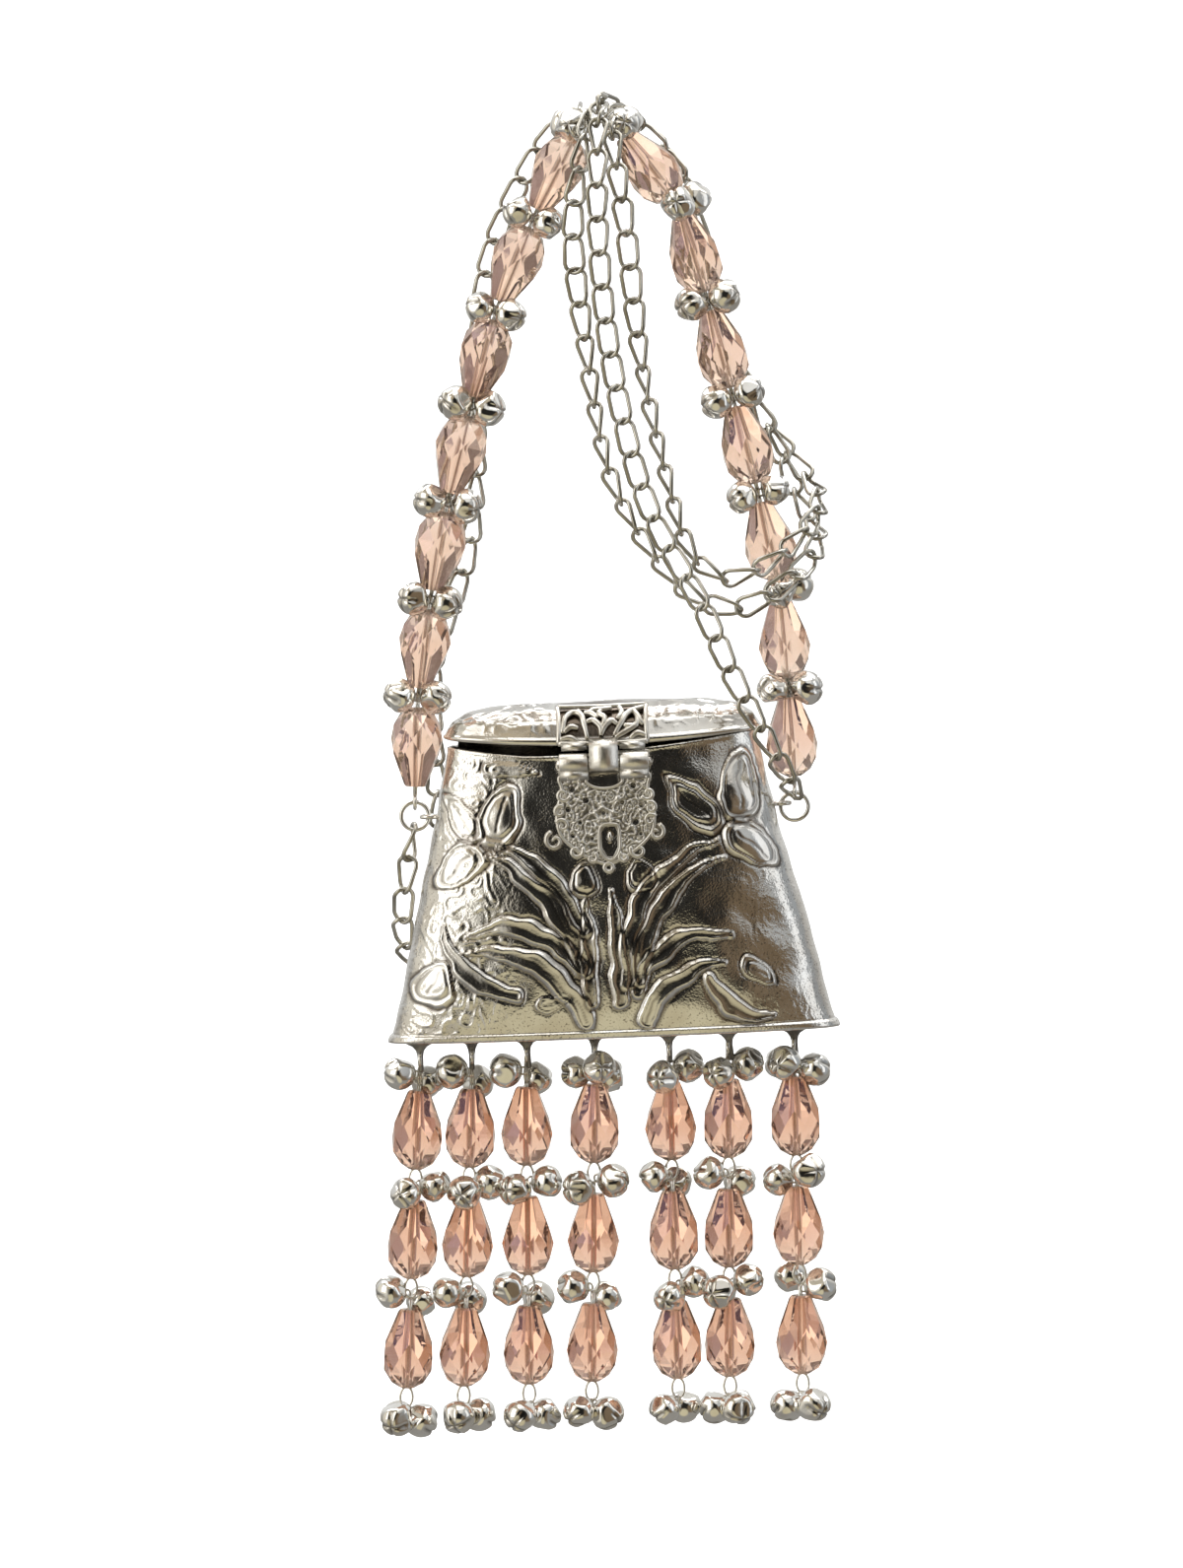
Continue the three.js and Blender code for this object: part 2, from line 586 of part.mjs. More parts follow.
// One strand of the fringe, hung by a loop in the eye of its lug
function fringeStrand(row, strand) {
  const eye = new THREE.Vector3(row.x, 0, lugEyeHeight()).applyMatrix4(bag.matrixWorld);
  const loop = wireLoop(LOOP).rotateY(Math.PI / 2).translate(eye.x, 0, eye.z - LOOP.radius);
  const up = headed(degToRad(row.sway));
  const outward = new THREE.Vector3(up.z, 0, -up.x);
  const points = [eye.clone().setZ(eye.z - 2 * LOOP.radius)];
  const bells = [];
  row.bells.forEach((count, level) => {
    const last = level === row.bells.length - 1;
    const drop = level === 0 ? FRINGE_DROP : FRINGE_PITCH;
    const place = last ? { droop: LAST_BELLS_DROOP } : { stagger: CLUSTER_STAGGER };
    const cluster = { bells: count, turn: row.turn + CLUSTER_TURN * level, ...place };
    points.push(points.at(-1).clone().addScaledVector(up, -drop));
    bells.push(...bellCluster(points.at(-1), up, outward, cluster));
  });
  const tail = points.at(-1).clone().addScaledVector(up, -FRINGE_TAIL);
  const string = fuse([wireThrough([...points, tail]), loop, ...bells]);
  const pieces = [piece(`fringe_string_${strand}`, geometryOf(string), silver())];
  for (let level = 1; level < row.bells.length; level++) {
    const [high, low] = points.slice(level, level + 2);
    pieces.push(crystalDrop(`fringe_crystal_${strand}_${level}`, low, high, FRINGE_SHIFT));
  }
  return pieces;
}

function sideRing(name, { x, z }) {
  return piece(name, wireLoop(RING).rotateX(Math.PI / 2).translate(x, 0, z), silver());
}

// Tube along the chain's route, with one step for each point of the route
function shoulderChain() {
  const path = new THREE.CatmullRomCurve3(CHAIN_ROUTE.map((point) => new THREE.Vector3(...point)));
  path.getPointAt = path.getPoint;
  path.getTangentAt = path.getTangent;
  const corners = Array.from({ length: CHAIN.sides }, (_, side) => {
    const angle = (2 * Math.PI * side) / CHAIN.sides;
    return new THREE.Vector2(Math.cos(angle), Math.sin(angle)).multiplyScalar(CHAIN.diameter / 2);
  });
  const settings = { steps: CHAIN_ROUTE.length - 1, extrudePath: path, bevelEnabled: false };
  return new THREE.ExtrudeGeometry(new THREE.Shape(corners), settings);
}

// The purse with its lid and clasp, in its own leaning frame
const bag = new THREE.Group();
bag.position.set(BAG.x, 0, BAG.z);
bag.rotation.y = degToRad(BAG.lean);
bag.add(
  piece('purse_body', purseBody(), silver()),
  piece('lid', purseLid(), silver()),
  piece('lid_hinge_pin', hingePin(LID_HINGE), silver()),
  piece('clasp_plate', claspPlate(), silver()),
  piece('hasp', hasp(), silver()),
  piece('hasp_pin', hingePin(HASP_HINGE), silver()),
);
bag.updateMatrixWorld();

const clutch = new THREE.Group();
clutch.add(
  bag,
  sideRing('side_ring_left', LEFT_RING),
  sideRing('side_ring_right', RIGHT_RING),
  ...handle(),
  ...FRINGE.flatMap((row, i) => fringeStrand(row, i + 1)),
  piece('shoulder_chain', shoulderChain(), nickel()),
);

export default clutch;
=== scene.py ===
import math

import bpy
import numpy as np
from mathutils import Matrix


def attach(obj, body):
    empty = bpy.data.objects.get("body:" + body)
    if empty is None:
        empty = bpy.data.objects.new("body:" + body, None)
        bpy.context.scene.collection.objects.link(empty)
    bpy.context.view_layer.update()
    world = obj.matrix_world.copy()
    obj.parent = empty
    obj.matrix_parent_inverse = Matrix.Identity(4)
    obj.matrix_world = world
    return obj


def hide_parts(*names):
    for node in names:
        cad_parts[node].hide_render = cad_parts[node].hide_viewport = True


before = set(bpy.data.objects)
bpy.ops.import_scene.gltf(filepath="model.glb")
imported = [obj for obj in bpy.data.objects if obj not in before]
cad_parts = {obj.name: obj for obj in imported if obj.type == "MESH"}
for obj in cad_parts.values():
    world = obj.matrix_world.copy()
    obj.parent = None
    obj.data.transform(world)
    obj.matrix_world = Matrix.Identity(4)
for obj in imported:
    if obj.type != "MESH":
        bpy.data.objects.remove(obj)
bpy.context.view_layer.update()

# A small hanging clutch purse of silvered metal with a beaded handle, a shoulder chain and a fringe.
# Tables are in millimetres in the object's frame, or in the purse's own leaning frame where they
# say so; MM turns them into Blender's metres.
MM = 0.001
rng = np.random.default_rng(7)

# The purse's own frame: bottom centre and lean in the object's frame
BAG_X, BAG_Z, BAG_LEAN = 3.2, -183.8, math.radians(-2.2)

# Purse body
BODY_HEIGHT = 58.4
BOTTOM_HALF_WIDTH, TOP_HALF_WIDTH = 45.2, 31.4
BOTTOM_HALF_DEPTH, TOP_HALF_DEPTH = 13.0, 10.2
BELLY = 1.5
SQUARENESS = 2.8                       # power of the oval plan
PLAN_SAMPLE, PLAN_STEPS = (40, 12), 4001    # half width and depth that even steps are measured on
FRONT_COLUMNS, BACK_COLUMNS, BODY_ROWS = 330, 90, 200
BAND_ROWS, BAND_SHARE = 24, 0.07       # finer rows along the bottom, and their share of the height
BAND_HEIGHT, BAND_PROUD = 1.3, 0.4
SEAM_DEPTH, BEAD_HEIGHT, CORNER_FLARE = 0.18, 0.22, 0.6
BOTTOM_CURL, CURL_REACH = 1.4, 10.0    # how far the wall turns in at the bottom, and from what height
HASP_ROOM = 12.75                      # how far the front may reach under the hasp
ROOM_START, ROOM_REACH, ROOM_SLOPE = 0.5, 4, 0.8    # how that room grows outside the hasp's outline
# Start and reach of fades: relief where the wall faces the front, below the edge and over the band; dents
FACING, BELOW_EDGE, OVER_BAND, DENTED = (0.25, 0.35), (0.8, 1.4), (BAND_HEIGHT, 0.8), (2, 6)
# Start and reach of fades at the bottom: top and foot of the band, place across and height of the flare
BAND_TOP, BAND_FOOT, FLARE_CORNER, FLARE_HEIGHT = (BAND_HEIGHT, 0.5), (-0.21, 0.6), (0.8, 0.2), (0, 5)
# Centre and width of the bead below the edge and of the seam over the band
BEAD, SEAM = (0.25, 0.45), (BAND_HEIGHT + 0.3, 0.22)
# Gap between the body's edge and the lid's rim: place across and gap, widest left of the clasp
EDGE_GAP = ((-31, 1.6), (-24, 2.0), (-16, 2.3), (-9, 2.1), (0, 1.4), (11, 0.9), (20, 0.5), (31, 0.3))
# Collar that stands up inside the top edge: inset from the wall and height over the edge
COLLAR = ((0.25, 0.25), (0.8, 0.2), (1.0, 0.0))
COLLAR_TOP = ((1.5, 2.0), (2.3, 2.1))
# How far the collar spreads in where it gapes, and the painted shade on it there
COLLAR_SPREAD, COLLAR_PAINTED_SHADE = 1.6, 0.4
# How much of it shows, which sets both its spread and its painted shade: share in the middle, width over
# which that falls by 1, and least share
GAPE_MIDDLE, GAPE_WIDTH, GAPE_LEAST = 0.55, 30, 0.15
# Inside wall below the collar: inset from the wall, painted shade on it, and levels as shares of the edge's
# height
INSIDE_INSET, INSIDE_PAINTED_SHADE, INSIDE_LEVELS = 2.0, 0.6, np.linspace(1, 0.02, 8)

# Lid sections from the rim to the crown: half width, half depth, height
LID_SECTIONS = (
    (31.9, 10.8, 59.2),
    (31.9, 10.8, 61.0),
    (30.6, 9.6, 64.0),
    (27.5, 7.0, 66.3),
    (22.0, 3.6, 67.4),
    (8.0, 1.2, 67.7),
)
LID_RISE, LID_WALL, LIP_HEIGHT = 2.0, 0.8, 0.5
LID_FRONT, LID_BACK, LID_ROWS = 260, 110, 48
# Start and reach of fades over the lid: facing the front, beside the plate, over the lip, under the plate
LID_FACING, BESIDE_PLATE, OVER_LIP, UNDER_PLATE = (0, 3), (9.5, 1.5), (61.5, 1.2), (60.2, 0.8)
# Fade at the plate's edge, leaves' height, darker ground between them, and painted shade under the plate
PLATE_FADE, LEAF_HEIGHT, LEAF_DARK, PLATE_SHADE = 0.6, 0.16, 0.2, 0.95
# Lip's centre and width; leaves' pitch and seed; dents' height, pitch and seed
LIP, LID_LEAVES, LID_DENTS = (0.75, 0.7), (7.0, 31), ((0.12, 12.0, 8),)
# Least half width and depth of the lid's hollow, and the painted shade inside it
LEAST_WIDTH, LEAST_DEPTH, LID_INSIDE_PAINTED_SHADE = 2, 0.5, 0.5

# Hinges in the purse's frame: y, z, barrel radius, bore, pin, inner and outer stretch
LID_HINGE = dict(y=12.7, z=58.55, radius=1.6, bore=1.0, pin=0.7, inner=5.0, outer=15.0)
HASP_HINGE = dict(y=-13.0, z=55.8, radius=2.0, bore=1.15, pin=0.8, inner=2.9, outer=9.0)
BARREL_GAP, BARREL_SOFT, BARREL_SIDES = 0.3, 0.18, 28
PIN_LONGER, PIN_SOFT, PIN_SIDES = 0.5, 0.25, 20
PIN_TIP, PIN_DOME = 0.02, 0.1          # radius and rise of a pin's rounded end
# Webs that carry the barrels of the lid hinge: where they start, height, and gap to the bore
BODY_WEB_Y, BODY_WEB_HEIGHT, LID_WEB_Y, LID_WEB_HEIGHT, WEB_GAP = 9.3, 1.6, 10.2, 0.9, 0.1

# Relief blades in the purse's frame: base, middle and tip of the spine, and width
BLADES = (
    ((-4.3, 7.6), (-4.4, 18.0), (-4.4, 28.9), 2.5),
    ((1.7, 7.1), (1.4, 18.0), (0.7, 29.6), 2.4),
    ((-5.0, 13.9), (-12.5, 28.6), (-24.1, 37.8), 2.8),
    ((-5.3, 22.0), (-12.4, 33.6), (-22.2, 39.4), 2.3),
    ((3.1, 11.7), (7.5, 29.0), (22.3, 39.4), 2.5),
    ((4.9, 9.1), (10.5, 26.4), (23.4, 36.0), 2.5),
    ((-6.2, 14.6), (-17.2, 22.8), (-29.1, 21.7), 2.8),
    ((-5.4, 3.6), (-14.9, 15.5), (-28.6, 17.9), 3.0),
    ((-19.5, 9.4), (-29.3, 14.6), (-33.6, 23.1), 2.4),
    ((5.6, 11.6), (13.4, 19.4), (24.6, 19.6), 2.4),
    ((6.5, 3.4), (12.4, 11.0), (22.6, 15.0), 2.8),
    ((20.0, 11.0), (25.3, 4.6), (32.8, 3.6), 2.6),
)
# Relief petals in the purse's frame: centre, length, width, turn from the X axis and fullness
PETALS = (
    ((-21.0, 45.8), 13.0, 8.0, 72, 0.6),
    ((-29.0, 45.5), 10.6, 5.0, 121, 0.2),
    ((-30.0, 35.6), 12.0, 6.5, 216, 0.2),
    ((-19.0, 55.0), 10.6, 3.0, -10, 0.3),
    ((27.0, 50.0), 14.6, 7.4, 88, 0.8),
    ((17.6, 46.8), 14.4, 6.4, 133, 0.2),
    ((29.4, 37.7), 13.0, 7.2, -37, 0.8),
    ((-4.8, 32.4), 7.0, 5.6, 80, 0.8),
    ((6.4, 33.0), 7.0, 5.6, 100, 0.5),
    ((-35.6, 12.2), 9.4, 8.0, 60, 0.6),
    ((29.6, 12.4), 8.4, 4.4, -30, 0.5),
    ((-12.0, 7.6), 7.0, 3.4, 20, 0.3),
)
BLADE_HEIGHT, PETAL_HEIGHT, GROOVE_DEPTH, SCROLL_HEIGHT = 0.8, 0.9, 0.18, 0.2
GROUND_BELOW = 0.35                    # relief lower than this is stippled ground
# Blades, in shares of the half width: centre and width of shoulder and groove, start and reach of the edge
SHOULDER, BLADE_GROOVE, BLADE_EDGE = (0.72, 0.24), (1.15, 0.18), (1.0, 0.3)
MIDRIB = (0, 0.28)                     # centre and width of its middle line, from the spine
# Petals, in shares of their size: the same of two outlines, two grooves, the vein and the edge
OUTER_LINE, INNER_LINE, OUTER_GROOVE, INNER_GROOVE = (0.94, 0.09), (0.62, 0.08), (1.1, 0.08), (0.78, 0.06)
VEIN, PETAL_EDGE = (0, 0.08), (1.1, 0.15)
# Small scrolls: pitch and seed, and where they start and are full on the left and on the right
SCROLLS, SCROLLS_LEFT, SCROLLS_RIGHT = (5.0, 15), (16, 10), (20, 10)
# Unevenness of the front: height, pitch and seed of each layer of waves
DENTS = ((0.2, 15.0, 3), (0.05, 5.0, 4))
SHIFT_X = ((0.35, 7.0, 11), (0.07, 2.6, 12))
SHIFT_Z = ((0.35, 7.0, 13), (0.07, 2.6, 14))

# Openwork plate on the lid: half width, reach up the lid and stand out from it
PLATE_HALF_WIDTH, PLATE_REACH, PLATE_OUT = 9.0, 8.6, 0.75
# Its rails: place up from the rim and wire radius; its sides: wire radius, inward bow and foot
PLATE_RAILS, RAIL_SAG = ((0.6, 0.62), (PLATE_REACH, 0.45)), 0.25
PLATE_SIDE_WIRE, PLATE_SIDE_BOW, PLATE_FOOT = 0.5, 0.03, 0.4
# Strokes of the openwork: points across and up from the rim
PLATE_STROKES = (
    ((-8.2, 2.4), (-7.4, 5.4), (-5.9, 6.9), (-4.4, 6.2), (-3.6, 3.6), (-3.1, 1.4)),
    ((-7.8, 2.6), (-6.4, 3.7), (-4.9, 3.4)),
    ((-4.9, 7.6), (-3.9, 5.2), (-3.2, 2.0)),
    ((-3.1, 4.6), (-1.8, 4.8), (-0.5, 3.6), (-0.3, 1.8)),
    ((-0.3, 1.8), (0.5, 3.6), (1.8, 4.7), (3.0, 4.0)),
    ((0.0, 7.6), (-0.6, 6.3), (0.5, 5.2), (0.0, 3.6)),
    ((2.3, 1.7), (4.1, 4.7), (5.8, 6.8), (8.6, 8.0)),
    ((3.5, 8.2), (4.0, 6.2), (3.0, 4.9)),
    ((2.5, 1.4), (4.6, 2.4), (6.9, 4.0), (6.9, 6.2)),
    ((4.3, 3.7), (6.1, 3.4), (7.1, 3.7)),
    ((-2.6, 6.8), (-1.6, 7.5), (0.0, 7.6), (2.0, 7.9)),
    ((-3.6, 6.8), (-2.1, 6.4), (-1.0, 5.2)),
    ((6.3, 7.2), (7.2, 5.2), (8.2, 3.7)),
    ((-8.6, 1.4), (-6.6, 1.6), (-5.0, 0.9)),
    ((8.6, 1.6), (7.0, 2.0), (5.4, 1.2)),
)
STROKE_THIN, STROKE_SWELL = 0.42, 0.22
# Bent strap round the clasp pin, from the plate down: y and z of its outer face
STRAP = ((-11.8, 60.7), (-13.2, 60.4), (-14.4, 59.8), (-15.0, 58.9), (-15.15, 57.4), (-15.15, 55.9),
         (-14.9, 54.7), (-14.1, 53.9), (-13.0, 53.7), (-12.0, 54.2), (-11.3, 55.0))
STRAP_THICKNESS = 0.55
# Ledges beside the strap: their stretch along X, and their span in Y and Z
LEDGE_X, LEDGE_Y, LEDGE_Z = (3.3, 8.4), (-12.7, -11.6), (58.3, 59.9)

# Hasp: plane of its back, thickness and rounding
HASP_BACK, HASP_THICKNESS, HASP_SOFT = -13.1, 0.7, 0.12
# The notch in its top under the strap, and the right half of its outline in the purse's frame
HASP_NOTCH = ((2.1, 50.9), (3.7, 51.9), (3.9, 53.2))
HASP_OUTLINE = ((9.0, 53.3), (8.7, 50.6), (9.5, 47.6), (9.9, 44.6), (9.1, 41.2), (6.0, 38.2), (2.6, 36.2))
HASP_TIP, NOTCH_FLOOR = 35.4, 50.6
# Holes of the openwork: place and radius
HASP_HOLES = (
    (-6.6, 50.6, 0.6), (5.7, 50.9, 0.7), (-3.9, 48.3, 0.75), (3.4, 47.6, 0.55), (-7.5, 46.6, 0.7),
    (7.3, 47.0, 0.7), (-5.2, 43.9, 0.55), (5.9, 43.6, 0.8), (-6.7, 41.3, 0.6), (6.9, 41.2, 0.5),
    (-0.4, 45.6, 0.5), (-2.9, 40.6, 0.5),
)
# Curls round the edge: centre, radius, start angle, turns and sense
HASP_CURLS = (
    ((8.6, 49.3), 1.4, 200, 1.2, 1),
    ((9.0, 46.4), 1.3, 120, 1.2, -1),
    ((10.0, 41.4), 1.7, 70, 1.1, -1),
    ((8.9, 43.9), 1.3, 30, 1.2, 1),
    ((6.3, 37.9), 1.7, 150, 1.1, 1),
    ((3.4, 36.7), 1.1, 120, 1.1, 1),
    ((-8.4, 49.6), 1.4, -10, 1.3, -1),
    ((-9.1, 46.2), 1.3, 60, 1.1, 1),
    ((-10.4, 40.4), 2.0, 110, 1.2, 1),
    ((-8.8, 43.4), 1.4, 150, 1.1, -1),
    ((-6.2, 38.2), 1.5, 30, 1.2, -1),
    ((-3.1, 36.7), 1.2, 60, 1.0, -1),
)
BORDER_WIRE, CURL_WIRE = 0.36, (0.5, 0.28)
# How far the borders and curls stand out from the face, and the share of the width that the outer one keeps
BORDER_OUT, SLOT_BORDER_OUT, CURL_OUT, BORDER_SHARE = 0.15, 0.3, 0.2, 0.985
# Webs under its barrels: gap to the bore, overlap with the plate, and stand out from the face
HASP_WEB_GAP, HASP_WEB_OVERLAP, HASP_WEB_OUT = 0.05, 0.9, 0.5
# Ridges chased into the face: the grid they are made on, and height, pitch and seed of each layer
CHASED_HALF_WIDTH, CHASED_TOP, CHASING_STEP = 11.6, 53.6, 0.14
CHASING = ((0.42, 3.0, 41), (0.22, 1.7, 42))
TIP_RING = dict(x=0.2, drop=0.7, radius=0.85, wire=0.42)
SLOT = dict(x=0.6, half_width=1.7, low=36.7, high=43.0)
STAPLE = dict(low=39.5, high=42.3, front=-14.6, root=0.6, wire=0.5, trim=0.3, set_back=0.45, points=14)

# Rings and wires
EYE = dict(radius=1.6, wire=0.5, z=45.5, out=1.3)
RING_RADIUS, RING_WIRE = 2.8, 0.45
LEFT_RING, RIGHT_RING = (-37.2, -139.6), (39.8, -137.6)
LOOP_RADIUS, LOOP_WIRE = 1.3, 0.4
STRAND_WIRE = 0.26
TWIN_OFFSET = np.array((0.208, 0.156, 0))      # each of two doubled wires from their middle

# Bells: size, foot on the wire, grid, beaten flats and how softly they meet the round
BELL_RADIUS, BELL_FOOT, BELL_ROWS, BELL_COLUMNS = 3.45, 0.6, 22, 32
BELL_FLATS, FLAT_SOFT, BELL_SQUASH = 7, 0.06, 0.96
# Flats: range of their level and of their distance; whole bells: tilt either way and range of size
FLAT_LEVELS, FLAT_DEPTHS, BELL_TILT, BELL_SIZES = (-0.9, 0.8), (0.76, 0.94), 0.14, (0.94, 1.06)
# Slit mouth: painted shade in it, width, start and reach down the bell, depth; seam: centre and width, and
# height
SLIT_PAINTED_SHADE, SLIT_WIDTH, SLIT_START, SLIT_DEPTH = 0.7, 0.2, (1.75, 0.3), 0.2
BELL_SEAM, BELL_SEAM_PROUD = (1.5, 0.1), 0.03
HANGER_RADIUS, HANGER_WIRE = 0.75, 0.24
CRYSTAL_SIDES = 8
# Crystal facets: rings of points as radius, height, share of a step that the ring is turned, and paleness
CRYSTAL_RINGS = (
    (0.6, -7.95, 0.5, 1.0),
    (1.5, -7.9, 0.5, 1.0),
    (3.5, -6.7, 0.0, 0.8),
    (4.85, -4.4, 0.5, 0.4),
    (5.3, -1.5, 0.0, 0.2),
    (4.75, 1.6, 0.5, 0.15),
    (2.35, 7.8, 0.5, 0.0),
    (1.95, 8.2, 0.5, 0.1),
    (0.6, 8.2, 0.5, 0.1),
)

# Handle: spacing of its crystals, their shift along the wire, and its top
HANDLE_PITCH, HANDLE_SHIFT, HANDLE_TOP = 20.0, -0.1, (0.0, 0.0, 0.9)
# Its halves from the ring to the top: lean of each crystal from upright, bells after it and their turn
LEFT_HANDLE = ((1.7, 2, 210), (7.3, 2, 210), (10.1, 3, 90), (13.8, 2, 210), (15.0, 2, 210), (21.9, 2, 210),
               (26.6, 2, 290))
RIGHT_HANDLE = ((3.9, 3, 90), (5.0, 2, 270), (12.5, 2, 210), (15.0, 2, 210), (14.7, 2, 210), (16.6, 2, 270),
                (37.9, 2, 290))

# Fringe: spacing of its crystals, their shift along the wire, drop to the first bells, and tail
FRINGE_PITCH, FRINGE_SHIFT, FRINGE_DROP, FRINGE_TAIL = 22.4, 0.7, 2.8, 1.2
# Turn from one cluster of bells to the next, their stagger along the wire, and droop of the last
CLUSTER_TURN, CLUSTER_STAGGER, LAST_BELLS_DROOP = 180, 0.9, 0.7
FRINGE_LOOP = (1.25, 2.05)       # half width and half height of the open wire loop under each crystal
# Strands from the left: place under the purse, sway, bells of the four clusters, first turn
FRINGE = (
    (-39.6, -2.4, (2, 2, 2, 3), 60),
    (-29.0, -1.5, (2, 2, 2, 2), 75),
    (-18.0, 0.5, (2, 2, 2, 2), 60),
    (-4.0, -0.5, (3, 2, 2, 2), 45),
    (11.0, 1.7, (2, 2, 2, 2), 255),
    (23.0, 0.5, (2, 2, 2, 3), 240),
    (36.4, 1.7, (3, 2, 2, 2), 0),
)
LUG_HEIGHT, LUG_SEED, LUG_SIDES = 1.6, 20, 18
# Lobes of the solder: share of the radius, start and reach up the cone; its flattening and lean
LOBES, LOBED, LUG_FLATTENED, LUG_LEAN = 0.22, (-2.2, 1.5), 0.85, 0.12
# Solder cone and pin over each strand: radius and height
LUG_PROFILE = ((2.9, 0.3), (2.8, -0.35), (2.1, -0.8), (1.35, -1.3), (0.85, -2.1), (0.62, -3.2), (0.56, -6.2),
               (0.3, -6.5))

# Shoulder chain: link size, and the way it runs from the left ring to the right one
LINK_LENGTH, LINK_WIDTH, LINK_WIRE = 8.64, 4.8, 0.46
LINK_TWIST = math.radians(80)      # turn of each link from end to end, so that the chain lies flat
SWAY_LOOSE = 0.15                  # chance turn of each link either way, in radians
FRONT_PULL = 0.5                   # how fast the links turn back to face the front, or the back
# How far the links turn from facing the front: link number and degrees
CHAIN_SWAY = (
    (0, 110), (1, 45), (2, 10), (4, 10), (6, 50), (15, 0), (20, 50), (27, 10), (34, 0), (38, 0), (41, 62),
    (48, 60), (53, 10), (61, 40), (69, 0), (76, 0), (79, 62), (86, 60), (91, 10), (98, 40), (106, 0),
    (123, 0), (127, 30), (133, 20),
)
CHAIN_ROUTE = (
    (-37.4, 0, -141.6), (-39.4, 1.5, -154), (-39.9, 7, -165), (-37.6, 14.4, -171.4), (-33.8, 18.4, -168),
    (-32.6, 18.5, -158), (-32.8, 16.8, -141), (-34, 10.5, -121), (-33.6, 9, -108), (-26, 9, -84),
    (-24.6, 9.2, -56), (-22.6, 9.4, -28), (-15, 9.2, -9.5), (-7.4, 8, 1), (-2.9, 1.6, 2.8),
    (-2.6, -6.6, -1), (-5.2, -8.8, -20), (-3, -8.8, -42), (2.4, -9, -71), (9.6, -9.2, -84.5),
    (19, -9.3, -95), (29, -9.4, -97.4), (38.4, -8.6, -91.6), (43.6, -3.4, -86.4), (44.6, 3, -82),
    (41.6, 8.6, -77), (36.2, 9.8, -64), (24.2, 9.4, -38), (17.4, 9.2, -11.4), (7.4, 8.2, 0.8),
    (2.9, 1.6, 2.8), (2.6, -6.6, -1), (5.6, -8.8, -22), (8.6, -8.8, -48), (14, -8.8, -72),
    (19, -9.5, -87), (26.4, -9.8, -91.6), (37, -9.4, -86), (43.2, -4.4, -80), (44.8, 3, -75),
    (41.6, 11, -69.4), (31.8, 13.6, -56), (21.6, 13.4, -31), (14.6, 13, -6.5), (5.4, 11.6, 2.6),
    (0.4, 4.6, 5), (0, -2, 4.4), (0, -9, 0.2), (-0.2, -12.5, -20), (2.6, -12.5, -48),
    (10, -13, -77), (20.6, -13.4, -96.4), (27, -13.6, -111), (34.6, -12.6, -125), (38.2, -8.4, -131.6),
    (39.6, -2.2, -135.4),
)

# Metals: name, bright, dull, and tarnish colour that also paints shade in gaps, hollows and slits, roughness
# from and to, scale and strength of the grain
METALS = (
    ("worn_silver", (0.86, 0.85, 0.82), (0.74, 0.71, 0.66), (0.1, 0.075, 0.055), (0.07, 0.2), 1800, 0.12),
    ("bell_silver", (0.9, 0.89, 0.86), (0.76, 0.73, 0.67), (0.1, 0.08, 0.06), (0.03, 0.12), 1500, 0.05),
    ("clasp_silver", (0.86, 0.84, 0.79), (0.7, 0.67, 0.61), (0.09, 0.075, 0.06), (0.22, 0.4), 1600, 0.2),
    ("chain_nickel", (0.57, 0.55, 0.5), (0.4, 0.38, 0.33), (0.12, 0.1, 0.08), (0.1, 0.24), 2400, 0.1),
    ("grey_solder", (0.34, 0.33, 0.32), (0.2, 0.19, 0.18), (0.05, 0.05, 0.05), (0.3, 0.5), 1600, 0.4),
)
# Glasses: name, deep and light tint of the streaks, colour of the pale ends, roughness
GLASSES = (
    ("peach_crystal", (0.79, 0.42, 0.25), (0.89, 0.54, 0.37), (0.97, 0.8, 0.68), 0.015),
    ("light_crystal", (0.88, 0.58, 0.42), (0.96, 0.72, 0.56), (0.99, 0.87, 0.77), 0.015),
    ("drilled_bore", (0.95, 0.86, 0.8), (0.98, 0.92, 0.88), (0.98, 0.92, 0.88), 0.2),
)

# Camera: the photograph's size and hook point in its pixels; the stage is in metres
PHOTO_WIDTH, PHOTO_HEIGHT, PHOTO_HOOK = 1200, 1591, (607, 130)
MM_PER_PIXEL = 0.2
CAMERA_DISTANCE, CAMERA_RISE, SENSOR = 1.25, 3.0, 36.0
FLOOR_Z, FLOOR_HALF, WALL_Y, WALL_TOP, SWEEP = -0.34, 3.0, 1.6, 3.0, 0.6
WORLD_LIGHT, WORLD_SEEN = 0.32, 1.0
MIDDLE = (0, 0, -0.13)
# Lights: name, place, target, size, power, and whether reflections and glass see them
LIGHTS = (
    ("left_softbox", (-0.75, -0.55, 0.15), MIDDLE, (0.6, 1.0), 2.0, True),
    ("top_softbox", (0.1, -0.25, 0.75), MIDDLE, (0.9, 0.6), 2.0, True),
    ("right_softbox", (0.8, -0.3, 0.05), MIDDLE, (0.3, 0.9), 0.6, True),
    ("back_wash", (0, 0.55, 1.2), (0, 1.0, -0.34), (2.4, 0.9), 22, True),
    ("ceiling", (0, -0.001, 2.6), (0, 0, 0), (14.0, 14.0), 680, False),
)
